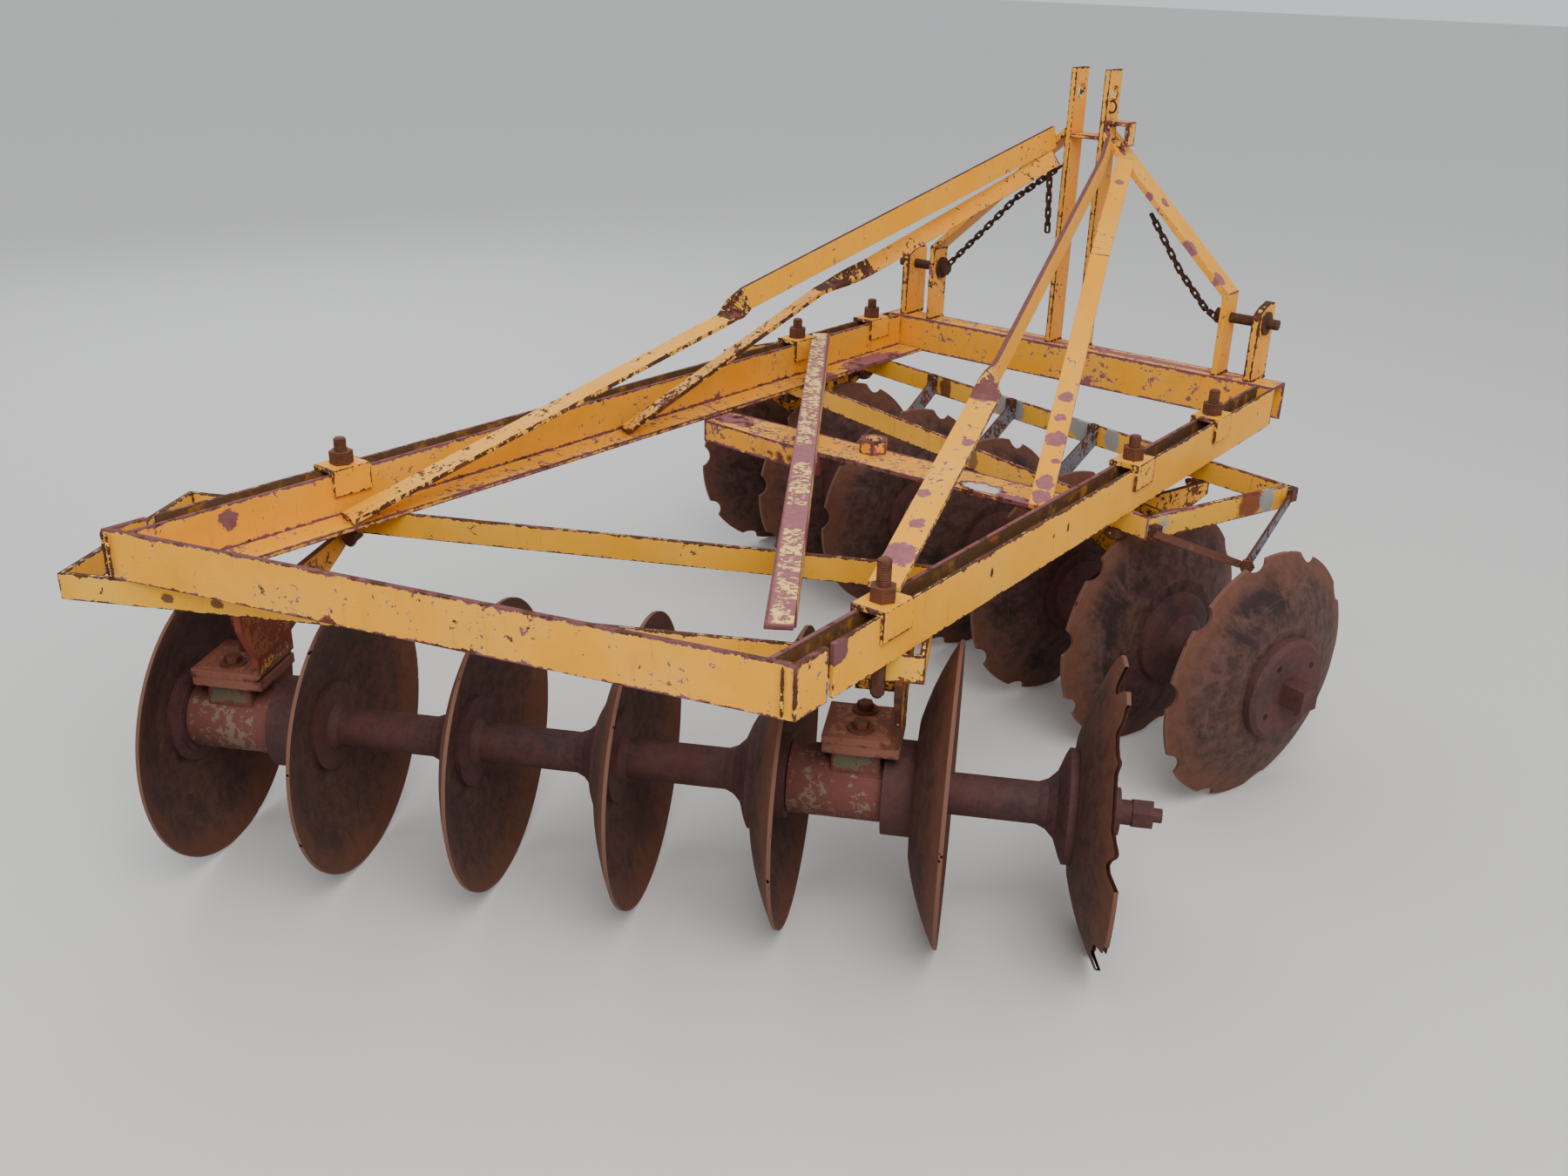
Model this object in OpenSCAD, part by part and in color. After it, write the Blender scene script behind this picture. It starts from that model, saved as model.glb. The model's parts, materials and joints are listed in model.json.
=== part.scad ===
// Offset disc harrow on a three-point linkage, millimetres.
// +X is the machine's right, +Y the way it is drawn, +Z up; it stands on its discs at z = 0.

/* [Main frame] */
// Width over the two side beams at the front
frame_width = 994; // [800:1300]
// Length of the right beam, front face to rear corner
right_length = 1743; // [1200:2400]
// Length of the left beam, longer because the rear bar is slanted
left_length = 2081; // [1300:2800]
// How far the left beam leans out at the rear
left_flare = 34; // [0:60]
// How far the right beam leans out at the rear
right_flare = 39; // [0:60]
// Height of the top of the frame over the ground
frame_top = 585; // [540:720]
// Height of the frame bars
bar_height = 80; // [60:110]
// Thickness of the outer flat bars
flat_thick = 8; // [6:12]
// Slot for the clamp bolts between outer flat and inner angle
slot_gap = 28; // [22:36]
// Width of the bottom leg of the inner angles
angle_leg = 74; // [50:90]
// Thickness of the inner angles
angle_thick = 8; // [6:12]
// Width of the front crossbar
front_bar_width = 64; // [50:90]
// Length of the returns where the rear bar is bent round the corners
corner_return = 70; // [40:120]

/* [Gangs] */
// Disc diameter
disc_diameter = 470; // [400:560]
// Depth of the bowl a disc is pressed from
disc_dish = 62; // [40:80]
// Radius within which a disc's middle is flat
flat_radius = 110; // [96:150]
// Thickness of a disc
disc_thick = 5; // [4:8]
// Distance between the rear discs
rear_spacing = 239; // [200:280]
// Distance between the front discs
front_spacing = 247; // [200:280]
// Number of discs on a gang
disc_count = 7; // [4:10]
// Notches round a front disc
notch_count = 10; // [6:14]
// Angle of the rear gang to the cross direction
rear_angle = 29.1; // [10:35]
// Angle of the front gang to the cross direction
front_angle = -16.15; // [-30:-5]
// Radius of the spool tubes
spool_radius = 32.5; // [25:40]
// Radius of the bell flange on a disc's round side
bell_radius = 88; // [60:94]
// Radius of the flange on a disc's hollow side
flange_radius = 72; // [50:90]

/* [Gang frames] */
// Height of the gang frame bars
hoop_height = 43.5; // [38:60]
// Thickness of the gang frame bars
hoop_thick = 10; // [8:14]
// Radius of the clamp bolts
clamp_radius = 10.5; // [8:13]

/* [Hitch] */
// Middle of the mast from the frame's left side
mast_x = 483; // [400:600]
// Height of the top link hole
top_pin_height = 1140; // [1000:1300]
// Radius of the top link hole
top_pin_radius = 16; // [9.5:18]
// Clear gap between the mast posts
mast_gap = 67; // [50:80]
// Thickness of the mast posts
post_thick = 13; // [10:18]
// Depth of the mast posts fore and aft
post_depth = 58; // [45:75]
// Height of the lower link pins
low_pin_height = 707; // [620:760]
// Radius of the lower link pins
low_pin_radius = 11; // [9:14]
// Distance between the middles of the two clevises
low_pin_span = 812; // [700:900]
// Clear gap of a clevis
clevis_gap = 59; // [45:66]

/* [Hidden] */
bottom = frame_top - bar_height;
disc_radius = disc_diameter / 2;
axle_height = disc_radius;
sphere_radius = (disc_radius * disc_radius + disc_dish * disc_dish) / (2 * disc_dish);
rear_origin = [7, 122 - left_length];
front_origin = [-166, -267];
inner_x = flat_thick + slot_gap;
slot_x = flat_thick + slot_gap / 2;
post_face = 8;
post_top = top_pin_height + 49;
pin_y = -18;
plate_ahead = 44;
leg_top = bottom + angle_thick;
left_lean = atan2(left_flare, left_length);
right_lean = atan2(right_flare, right_length);
rear_thick = flat_thick + 2;

// corners of the gang frames, along the gang from its left disc's rim and ahead of its axle
rear_hoop = [[-180, -90], [1152, -90], [1152, 247], [-180, 288]];
front_hoop = [[-50, -148], [1303, -132], [1327, 238], [-50, 126]];

// corners of the main frame
rear_left = [-left_flare, -left_length];
rear_right = [frame_width + right_flare, -right_length];
rear_slant = atan2(rear_right[1] - rear_left[1], rear_right[0] - rear_left[0]);

square_head = [44, 42, 42];
// depth of a disc's flat middle behind its rim, on its round and on its hollow side
function shell_depth(r, grow) = sqrt(pow(sphere_radius + grow, 2) - r * r) - (sphere_radius - disc_dish);
round_depth = shell_depth(flat_radius, 0);
hollow_depth = shell_depth(flat_radius, -disc_thick);
front_last_hub = (disc_count - 1) * front_spacing + round_depth;
// clearance between a disc's flat middle and what bears on it
seat = 0.03;
head_at = front_last_hub + 22;
west = rear_origin[0] + rear_hoop[3][0] * cos(rear_angle) - rear_hoop[3][1] * sin(rear_angle);
east = front_origin[0] + (head_at + square_head[0]) * cos(front_angle) - square_head[1] / 2 * sin(front_angle);
south = rear_origin[1] - disc_radius * cos(rear_angle);
centre = [(west + east) / 2, (south + pin_y + plate_ahead) / 2];

// plan geometry: unit vector, normal to the left, corner of a line moved to its left by t, crossing of two lines
function unit(v) = v / norm(v);
function left_of(d) = [-d[1], d[0]];
function inset(a, p, b, t) = let (m = left_of(unit(p - a)), n = left_of(unit(b - p))) p + t * (m + n) / (1 + m * n);
function wedge(a, b) = a[0] * b[1] - a[1] * b[0];
function crossing(p, d, q, e) = p + d * wedge(q - p, e) / wedge(d, e);
function turn(v, a) = [v[0] * cos(a) - v[1] * sin(a), v[0] * sin(a) + v[1] * cos(a)];
function raised(p, z) = [p[0], p[1], z];

// a spot x inward from a side beam's outer face and y ahead of the front face
function on_left(x, y) = turn([x, y], -left_lean);
function on_right(x, y) = [frame_width, 0] + turn([-x, y], right_lean);

// outline of a flat bent along a line of points, its other face lying t to the left
function bent(points, t) = let (last = len(points) - 1) concat(points, [for (i = [last:-1:0])
    i == 0 ? points[0] + t * left_of(unit(points[1] - points[0]))
    : i == last ? points[last] + t * left_of(unit(points[last] - points[last - 1]))
    : inset(points[i - 1], points[i], points[i + 1], t)]);

// the whole machine's bounding box is centred on the origin in plan
module place() translate([-centre[0], -centre[1], 0]) children();

// x along the gang from its left disc's rim, y ahead of its axle
module rear_frame() place() translate([rear_origin[0], rear_origin[1], 0]) rotate([0, 0, rear_angle]) children();
module front_frame() place() translate([front_origin[0], front_origin[1], 0]) rotate([0, 0, front_angle]) children();

// x inward from a side beam's outer face, y ahead of the front face along the beam
module left_side() place() rotate([0, 0, -left_lean]) children();
module right_side() place() translate([frame_width, 0, 0]) rotate([0, 0, right_lean]) mirror([1, 0, 0]) children();

// turns a body made along z so that it lies along x
module along_x() rotate([0, 90, 0]) children();

// stations from a to b with the roll eased between them; a station is [point, roll]
function eased(a, b) = let (steps = 6) [for (i = [0:steps]) let (t = i / steps)
    [a[0] + (b[0] - a[0]) * t, a[1] + (b[1] - a[1]) * t * t * (3 - 2 * t)]];

// a flat bar through stations, its section square to the mean of the runs that meet there
module swept_flat(stations, width, thick) {
    last = len(stations) - 1;
    corners = [[1, 1], [-1, 1], [-1, -1], [1, -1]];
    function heading(i) = let (k = min(last - 1, max(0, i))) unit(stations[k + 1][0] - stations[k][0]);
    points = [for (i = [0:last]) let (
            run = unit(heading(i - 1) + heading(i)),
            side = unit(cross(run, [0, 0, 1])),
            up = cross(side, run),
            roll = stations[i][1],
            wide = side * cos(roll) + up * sin(roll),
            thin = up * cos(roll) - side * sin(roll))
        for (c = corners) stations[i][0] + wide * c[0] * width / 2 + thin * c[1] * thick / 2];
    faces = concat(
        [[0, 1, 2], [0, 2, 3]],
        [for (k = [0:last - 1], j = [0:3]) [4 * k + j, 4 * k + 4 + j, 4 * k + (j + 1) % 4]],
        [for (k = [0:last - 1], j = [0:3]) [4 * k + 4 + j, 4 * k + 4 + (j + 1) % 4, 4 * k + (j + 1) % 4]],
        [[4 * last, 4 * last + 2, 4 * last + 1], [4 * last, 4 * last + 3, 4 * last + 2]]);
    polyhedron(points, faces);
}

module rear_crossbar() color("gold") place() {
    left_dir = unit([left_flare, left_length]);
    right_dir = unit([-right_flare, right_length]);
    translate([0, 0, bottom]) linear_extrude(bar_height) polygon(bent([
        rear_left + left_dir * corner_return, rear_left, rear_right, rear_right + right_dir * corner_return], rear_thick));
}

module front_crossbar() color("gold") place() {
    wall = 7;
    difference() {
        translate([0, -front_bar_width, bottom]) cube([frame_width, front_bar_width, bar_height]);
        translate([-1, -front_bar_width + wall, bottom - 1]) cube([frame_width + 2, front_bar_width - 2 * wall, bar_height - wall + 1]);
    }
}

// the room behind the inner face of the slanted rear bar
module behind_rear() place() translate([rear_left[0], rear_left[1], bottom - 1]) rotate([0, 0, rear_slant])
    translate([-300, rear_thick - 400, 0]) cube([1800, 400, bar_height + 2]);

module outer_flat(length) translate([0, -length + corner_return + 12, bottom])
    cube([flat_thick, length - corner_return - front_bar_width - 14, bar_height]);

module inner_angle(length) {
    run = length + 60 - front_bar_width - 3;
    translate([inner_x, -length - 60, bottom]) cube([angle_thick, run, bar_height]);
    translate([inner_x, -length - 60, bottom]) cube([angle_leg, run, angle_thick]);
}

module left_outer_flat() color("gold") left_side() outer_flat(left_length);
module right_outer_flat() color("gold") right_side() outer_flat(right_length);
module left_inner_angle() color("goldenrod") difference() {
    left_side() inner_angle(left_length);
    behind_rear();
}
module right_inner_angle() color("goldenrod") difference() {
    right_side() inner_angle(right_length);
    behind_rear();
}

leg_end = inner_x + angle_leg;

// a channel hung under the bottom legs of the inner angles, the near leg torn off beyond the torn spot
module mid_channel() color("goldenrod") place() {
    wall = 7;
    depth = 46;
    top = bottom - 0.3;
    far_left = on_left(leg_end - 4, -0.372 * left_length);
    near_left = on_left(leg_end - 4, -0.411 * left_length);
    far_right = on_right(leg_end - 6, -0.425 * right_length);
    near_right = on_right(leg_end - 6, -0.478 * right_length);
    torn = near_left + 0.38 * (near_right - near_left) + [0, -20];
    collar = far_left + 0.468 * (far_right - far_left) + [0, 11];
    translate([0, 0, top - wall]) linear_extrude(wall) polygon([far_left, near_left, torn, near_right, far_right]);
    translate([0, 0, top - depth]) linear_extrude(depth - wall) polygon(bent([far_right, far_left], wall));
    translate([0, 0, top - depth]) linear_extrude(depth - wall) polygon(bent([near_left, torn], wall));
    translate([collar[0], collar[1] - 36, top]) difference() {
        cylinder(h = 27, r = 30, $fn = 6);
        translate([0, 0, -1]) cylinder(h = 29, r = 17, $fn = 32);
    }
}

module diagonal_brace() color("gold") place() {
    from = on_left(inner_x - 4, -371);
    to = on_right(inner_x + 46, -0.961 * right_length);
    run = to - from;
    difference() {
        translate([from[0], from[1], frame_top]) rotate([0, 0, atan2(run[1], run[0])]) {
            translate([0, -20, 0]) cube([norm(run), 40, 6]);
            translate([130, 14, -44]) cube([norm(run) - 230, 6, 44]);
        }
        for (row = clamp_table) saddle_at(row) translate([-clamp_half - 1, -38, -1]) cube([2 * clamp_half + 2, 76, 20]);
    }
}

module mast_post(x) difference() {
    translate([x, post_face - post_depth, frame_top]) cube([post_thick, post_depth, post_top - frame_top]);
    translate([x - 1, pin_y, top_pin_height]) along_x() cylinder(h = post_thick + 2, r = top_pin_radius, $fn = 48);
}

left_post_x = mast_x - mast_gap / 2 - post_thick;
right_post_x = mast_x + mast_gap / 2;
right_face = right_post_x + post_thick;
tube_width = 57;
tube_height = 50;
tube_depth = 34;
tube_top = 1086;

module left_mast_post() color("gold") place() mast_post(left_post_x);
module right_mast_post() color("gold") place() mast_post(right_post_x);

module tube_room(grow) translate([right_face - grow, post_face - post_depth - grow, tube_top - tube_height - grow])
    cube([tube_width + 2 * grow, tube_depth + 2 * grow, tube_height + 2 * grow]);

// a spacer between the posts and a short square tube, open to the rear, on the right post
module mast_bracket() color("gold") place() {
    wall = 9;
    translate([mast_x - mast_gap / 2, post_face - post_depth, 1044]) cube([mast_gap, post_depth - 6, 8]);
    difference() {
        tube_room(0);
        translate([right_face + wall + 2, post_face - post_depth - 1, tube_top - tube_height + wall])
            cube([tube_width - 2 * wall - 2, post_depth, tube_height - 2 * wall]);
    }
}

// a spot a share of the way from a to b, lifted off the straight line
function between(a, b, share, lift) = a + (b - a) * share + [0, 0, lift];

module left_long_stay() color("gold") place() {
    top = [left_post_x - 20.5, -60.5, 1043];
    foot = raised(on_left(inner_x + 47, -0.823 * left_length), leg_top + 5);
    swept_flat(concat([[top, 90]], eased([between(top, foot, 0.505, 10), 90], [between(top, foot, 0.535, -8), 0]), [[foot, 0]]), 48, 9);
}

module left_short_stay() color("gold") place() {
    top = [left_post_x - 11, -64, 998.8];
    foot = raised(on_left(inner_x + 37, -0.507 * left_length), leg_top + 6);
    swept_flat(concat([[top, 62]], eased([between(top, foot, 0.46, 20), 62], [between(top, foot, 0.577, 36), 0]), [[foot, 0]]), 36, 9);
}

module right_long_stay() color("gold") place() {
    top = [right_face + 23.5, -67.9, 1045];
    foot = raised(on_right(inner_x + 11, -0.848 * right_length), frame_top + 5.5);
    swept_flat(concat([[top, 90], [between(top, foot, 0.043, -26), 90]],
        eased([between(top, foot, 0.6, -15), 90], [between(top, foot, 0.655, -22), 0]), [[foot, 0]]), 48, 9);
}

module right_short_stay() color("gold") place() {
    top = [right_face + 64.5, -64, 1012];
    foot = raised(on_right(inner_x + angle_thick + 18, -0.566 * right_length), frame_top - 19);
    swept_flat([[top, 8], [between(top, foot, 0.38, 30), 4], [foot, 0]], 37, 10);
}

strut_thick = 13;
plate_thick = 18;
strut_depth = 60;
strut_y = pin_y + 25;
knee_height = 760;
strut_top = 1064;
inside = low_pin_span / 2 - clevis_gap / 2 - strut_thick;
outside = low_pin_span / 2 + clevis_gap / 2 + plate_thick;

module left_hand() place() translate([mast_x, 0, 0]) mirror([1, 0, 0]) children();
module right_hand() place() translate([mast_x, 0, 0]) children();

// x outward from the middle of the mast
module pin_hole() translate([inside - 5, pin_y, low_pin_height]) along_x()
    cylinder(h = outside - inside + 10, r = low_pin_radius + 0.02, $fn = 48);

// a flat that rises from the front bar and leans in to the post
module hitch_strut() difference() {
    face = inside + strut_thick;
    post = mast_gap / 2 + post_thick;
    translate([0, strut_y, 0]) rotate([90, 0, 0]) linear_extrude(strut_depth)
        polygon(bent([[face, frame_top], [face, knee_height], [post - 8, strut_top + 7]], strut_thick));
    translate([post - 80, strut_y - 90, 900]) cube([80, 120, 250]);
    pin_hole();
}

module left_hitch_strut() color("gold") left_hand() hitch_strut();
module right_hitch_strut() color("gold") difference() {
    right_hand() hitch_strut();
    place() tube_room(0.01);
}

module clevis_plate() difference() {
    translate([outside - plate_thick, pin_y, low_pin_height]) rotate([90, 0, 90]) linear_extrude(plate_thick) polygon([
        [-34, frame_top - low_pin_height], [plate_ahead, frame_top - low_pin_height], [plate_ahead, 31], [38, 39],
        [28, 41], [-10, 32], [-28, 22], [-34, 13]]);
    pin_hole();
}

module left_clevis_plate() color("gold") left_hand() clevis_plate();
module right_clevis_plate() color("gold") right_hand() clevis_plate();

// the pin's head is on the inner side, its outer end sticks out beyond a washer
module low_pin(reach) translate([0, pin_y, low_pin_height]) {
    translate([inside - 20, 0, 0]) along_x() cylinder(h = outside - inside + 20 + reach, r = low_pin_radius, $fn = 48);
    translate([inside - 20, 0, 0]) along_x() cylinder(h = 14, r = 17, $fn = 6);
    translate([inside - 6, 0, 0]) along_x() cylinder(h = 5.9, r = 25, $fn = 48);
    translate([outside + 0.1, 0, 0]) along_x() cylinder(h = 5, r = 25, $fn = 48);
}

module left_low_pin() color("dimgray") left_hand() low_pin(25);
module right_low_pin() color("dimgray") right_hand() low_pin(28);

// one flat chain link
link_pitch = 17;
module link() linear_extrude(4.2, center = true) difference() {
    polygon([[-13, -4], [-10, -7], [10, -7], [13, -4], [13, 4], [10, 7], [-10, 7], [-13, 4]]);
    polygon([[-9, -2], [-8, -3], [8, -3], [9, -2], [9, 2], [8, 3], [-8, 3], [-9, 2]]);
}

// links hang along a line of points
module chain(path) {
    function count(k) = max(1, round(norm(path[k + 1] - path[k]) / link_pitch));
    function before(k) = k == 0 ? 0 : before(k - 1) + count(k - 1);
    for (k = [0:len(path) - 2]) {
        run = path[k + 1] - path[k];
        for (i = [0:count(k) - 1]) translate(path[k] + run * (i + 0.5) / count(k))
            rotate([0, -asin(run[2] / norm(run)), atan2(run[1], run[0])])
                rotate([(i + before(k)) % 2 == 0 ? 0 : 90, 0, 0]) link();
    }
}

// x is given from the middle of the mast, y from the pins' line
module chain_from_mast(path) place() translate([mast_x, pin_y, 0]) chain(path);
module right_chain() color("dimgray")
    chain_from_mast([[180, -32, 903], [262, -32, 793], [330, -33, 724], [inside - 14, -24.4, low_pin_height + 2]]);
module left_chain() color("dimgray")
    chain_from_mast([[-45, -42, 981.6], [-148, -42, 903], [-234, -42, 812], [-321, -33, 726]]);
module spare_chain() color("dimgray") chain_from_mast([[-62, -57, 971], [-54, -57, 841]]);

// one side of a gang frame, mitred at its corners
module hoop_side(hoop, i) translate([0, 0, bottom - hoop_height]) linear_extrude(hoop_height) {
    before = hoop[(i + 3) % 4];
    from = hoop[i];
    to = hoop[(i + 1) % 4];
    after = hoop[(i + 2) % 4];
    polygon([from, to, inset(from, to, after, hoop_thick), inset(before, from, to, hoop_thick)]);
}

module hoop_bars(hoop) for (i = [0, 2]) hoop_side(hoop, i);
module hoop_ends(hoop) for (i = [1, 3]) hoop_side(hoop, i);

module rear_gang_bars() color("gold") rear_frame() hoop_bars(rear_hoop);
module rear_gang_ends() color("gold") rear_frame() hoop_ends(rear_hoop);
module front_gang_bars() color("gold") front_frame() hoop_bars(front_hoop);
module front_gang_ends() color("gold") front_frame() hoop_ends(front_hoop);

// where a gang's spools start and end, counted from the left disc
function spool_from(i, hollow, spacing) = i * spacing + seat + (hollow > 0 ? -hollow_depth : round_depth);
function spool_to(i, hollow, spacing) = (i + 1) * spacing - seat + (hollow > 0 ? -round_depth : hollow_depth);

// bearings: spool they take the place of, start of the housing after the disc, middle of its pad after the disc
rear_bearing_table = [[0, 16, 99], [4, 40, 151]];
front_bearing_table = [[0, 34, 129], [4, 66, 163]];
bearing_length = 146;
bearing_radius = 56;
journal_radius = 40;
pad_top = axle_height + 96;
pad_thick = 16;
foot_thick = 12;
pad_size = [118, 112];
rib_length = 66;
function bearing_rows(hollow) = hollow > 0 ? rear_bearing_table : front_bearing_table;

module bearings(hollow, spacing) for (row = bearing_rows(hollow)) {
    start = spool_from(row[0], hollow, spacing);
    translate([start, 0, axle_height]) difference() {
        union() {
            translate([row[1], 0, 0]) along_x() cylinder(h = bearing_length, r = bearing_radius, $fn = 64);
            translate([row[2], 0, 0]) mirror([hollow > 0 ? 0 : 1, 0, 0]) translate([-46, -40, 0])
                cube([76, 80, pad_top - axle_height - pad_thick]);
            translate([row[2] - pad_size[0] / 2, -pad_size[1] / 2, pad_top - pad_thick - axle_height])
                cube([pad_size[0], pad_size[1], pad_thick]);
        }
        translate([-1, 0, 0]) along_x() cylinder(h = 300, r = journal_radius + 0.05, $fn = 64);
    }
}

// a foot on the bearing's pad, bent up into a plate that carries the gang frame
module standards(hollow, spacing, hoop) for (row = bearing_rows(hollow)) {
    x = pad_size[0] / 2;
    middle = spool_from(row[0], hollow, spacing) + row[2];
    plate = [middle + hollow * (x - foot_thick / 2), 0];
    rear = crossing(plate, [0, 1], hoop[0], hoop[1] - hoop[0])[1];
    front = crossing(plate, [0, 1], hoop[3], hoop[2] - hoop[3])[1];
    under = bottom - hoop_height;
    translate([middle, 0, 0]) mirror([hollow > 0 ? 0 : 1, 0, 0]) {
        translate([0, pad_size[1] / 2, 0]) rotate([90, 0, 0]) linear_extrude(pad_size[1])
            polygon(bent([[-x, pad_top], [x - 8, pad_top], [x, pad_top + 8], [x, pad_top + 40]], foot_thick));
        translate([x - foot_thick, 0, 0]) rotate([90, 0, 90]) linear_extrude(foot_thick) polygon([
            [-pad_size[1] / 2, pad_top + 40.01], [pad_size[1] / 2, pad_top + 40.01], [front - 1, under - 26],
            [front - 1, under - 0.01], [rear + 1, under - 0.01], [rear + 1, under - 26]]);
        translate([x - foot_thick - rib_length, 10, pad_top + 62]) cube([rib_length, 8, under - pad_top - 62]);
    }
}

module rear_bearings() color("rosybrown") rear_frame() bearings(1, rear_spacing);
module front_bearings() color("rosybrown") front_frame() bearings(-1, front_spacing);
module rear_standards() color("goldenrod") rear_frame() standards(1, rear_spacing, rear_hoop);
module front_standards() color("goldenrod") front_frame() standards(-1, front_spacing, front_hoop);

// profile of a disc's shell, radius against distance from the rim plane towards the round side
shell_steps = 5;
function shell_radius(i) = flat_radius + (disc_radius - flat_radius) * i / shell_steps;
module shell_profile() polygon(concat([[0, hollow_depth]],
    [for (i = [0:shell_steps]) [shell_radius(i), shell_depth(shell_radius(i), -disc_thick)]],
    [for (i = [shell_steps:-1:0]) [shell_radius(i), shell_depth(shell_radius(i), 0)]],
    [[0, round_depth]]
));

module plain_disc() rotate_extrude($fn = 96) shell_profile();

module notched_disc() difference() {
    plain_disc();
    for (i = [0:notch_count - 1]) rotate([0, 0, (i + 0.35) * 360 / notch_count])
        translate([disc_radius + 16, 0, -20]) cylinder(h = 60, r = 30, $fn = 32);
}

// hollow = 1 hollows face right, -1 hollows face left
module gang_discs(hollow, spacing, notched) for (i = [0:disc_count - 1])
    translate([i * spacing, 0, axle_height]) rotate([0, hollow * -90, 0])
        if (notched) notched_disc(); else plain_disc();

// the round side of a disc takes the bell, the hollow side the flat flange
bell = [[0, 0], [bell_radius, 0], [bell_radius, 12], [bell_radius - 10, 17], [spool_radius + 19, 27],
    [spool_radius + 6, 40], [spool_radius, 54], [0, 54]];
flange = [[0, 0], [flange_radius, 0], [flange_radius, 8], [spool_radius + 8, 12], [spool_radius, 24], [0, 24]];

module spool(from, to, hollow) {
    low = hollow > 0 ? flange : bell;
    high = hollow > 0 ? bell : flange;
    outline = concat([[0, from]], [for (i = [1:len(low) - 2]) [low[i][0], from + low[i][1]]],
        [for (i = [len(high) - 2:-1:1]) [high[i][0], to - high[i][1]]], [[0, to]]);
    translate([0, 0, axle_height]) along_x() rotate_extrude($fn = 64) polygon(outline);
}

// a bearing's journal with the rings that bear on the two discs
module journal(from, to, first_ring) {
    rings = [from + first_ring - 1, from + first_ring + bearing_length + 1];
    translate([0, 0, axle_height]) along_x() rotate_extrude($fn = 64) polygon([
        [0, from], [82, from], [82, from + 8], [66, from + 12], [66, rings[0]], [journal_radius, rings[0]],
        [journal_radius, rings[1]], [74, rings[1]], [74, to], [0, to]]);
}

module gang_spools(hollow, spacing) for (i = [0:disc_count - 2]) {
    from = spool_from(i, hollow, spacing);
    to = spool_to(i, hollow, spacing);
    rows = [for (row = bearing_rows(hollow)) if (row[0] == i) row];
    if (len(rows) == 0) spool(from, to, hollow);
    else journal(from, to, rows[0][1]);
}

module rear_discs() color("saddlebrown") rear_frame() gang_discs(1, rear_spacing, false);
module front_discs() color("saddlebrown") front_frame() gang_discs(-1, front_spacing, true);
module rear_spools() color("sienna") rear_frame() gang_spools(1, rear_spacing);
module front_spools() color("sienna") front_frame() gang_spools(-1, front_spacing);

module turned(from, profile, fn = 64) translate([from, 0, axle_height]) along_x() rotate_extrude($fn = fn) polygon(profile);

module rear_gang_bolt() color("dimgray") rear_frame() {
    last = spool_from(disc_count - 1, 1, rear_spacing);
    turned(last, [[0, 0], [bell_radius, 0], [bell_radius, 12], [bell_radius - 14, 18], [46, 27], [38, 42], [36, 62],
        [19, 62], [19, 81], [0, 81]]);
    translate([last + 81, 0, axle_height]) along_x() cylinder(h = 30, r = 23.7, $fn = 6);
    translate([last + 111, 0, axle_height]) along_x() cylinder(h = 14, r = 11, $fn = 32);
    turned(-round_depth - seat - 24, [[0, 0], [78, 0], [bell_radius, 10], [bell_radius, 24], [0, 24]]);
    translate([-round_depth - 24 - square_head[0], -square_head[1] / 2, axle_height - square_head[2] / 2]) cube(square_head);
}

module front_gang_bolt() color("sienna") front_frame() {
    turned(front_last_hub + seat, [[0, 0], [95, 0], [95, 14], [88, 22], [0, 22]]);
    translate([head_at, -square_head[1] / 2, axle_height - square_head[2] / 2]) cube(square_head);
    turned(hollow_depth - seat - 62, [[0, 0], [36, 0], [40, 46], [70, 52], [70, 62], [0, 62]]);
    translate([hollow_depth - 90, 0, axle_height]) along_x() cylinder(h = 28, r = 23.7, $fn = 6);
}

// scraper arms hang from the front bar into the hollows of discs, given by place along the gang
scraper_places = [402, 645, 874];
module scrapers() color("slategray") front_frame() {
    for (x = scraper_places) {
        face = crossing([x, 0], [0, 1], front_hoop[3], front_hoop[2] - front_hoop[3])[1] - hoop_thick;
        swept_flat([[[x, face - 7, bottom - 22], 76], [[x + 46, 26, 424], 72]], 34, 6);
    }
    corner = front_hoop[2];
    near = front_hoop[1];
    tip = [corner[0] + 113, corner[1] - 258, 442];
    swept_flat([[[corner[0] + 3.4, corner[1] - 4, 480], 90], [tip, 84]], 22, 6);
    swept_flat([[[near[0] + 9, near[1] + 8, 478], 20], [tip + [-10, -8, -2], 20]], 22, 14);
}

// beam side (0 left, 1 right), gang frame (0 rear, 1 front), its bar (0 rear, 2 front), bolt ahead of it (1) or behind, stud height
clamp_table = [
    [0, 0, 2, -1, 20],
    [1, 0, 0, -1, 37],
    [0, 1, 0, 1, 18],
    [0, 1, 2, 1, 18],
    [1, 1, 0, 1, 18],
    [1, 1, 2, 1, 24]
];
function hoop_corner(row, i) = row[1] == 0 ? rear_origin + turn(rear_hoop[i % 4], rear_angle)
    : front_origin + turn(front_hoop[i % 4], front_angle);
function beam_start(side) = side == 0 ? [0, 0] : [frame_width, 0];
function beam_turn(side) = side == 0 ? -left_lean : right_lean;
function beam_across(side) = turn([side == 0 ? 1 : -1, 0], beam_turn(side));
function beam_along(side) = turn([0, 1], beam_turn(side));
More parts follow.
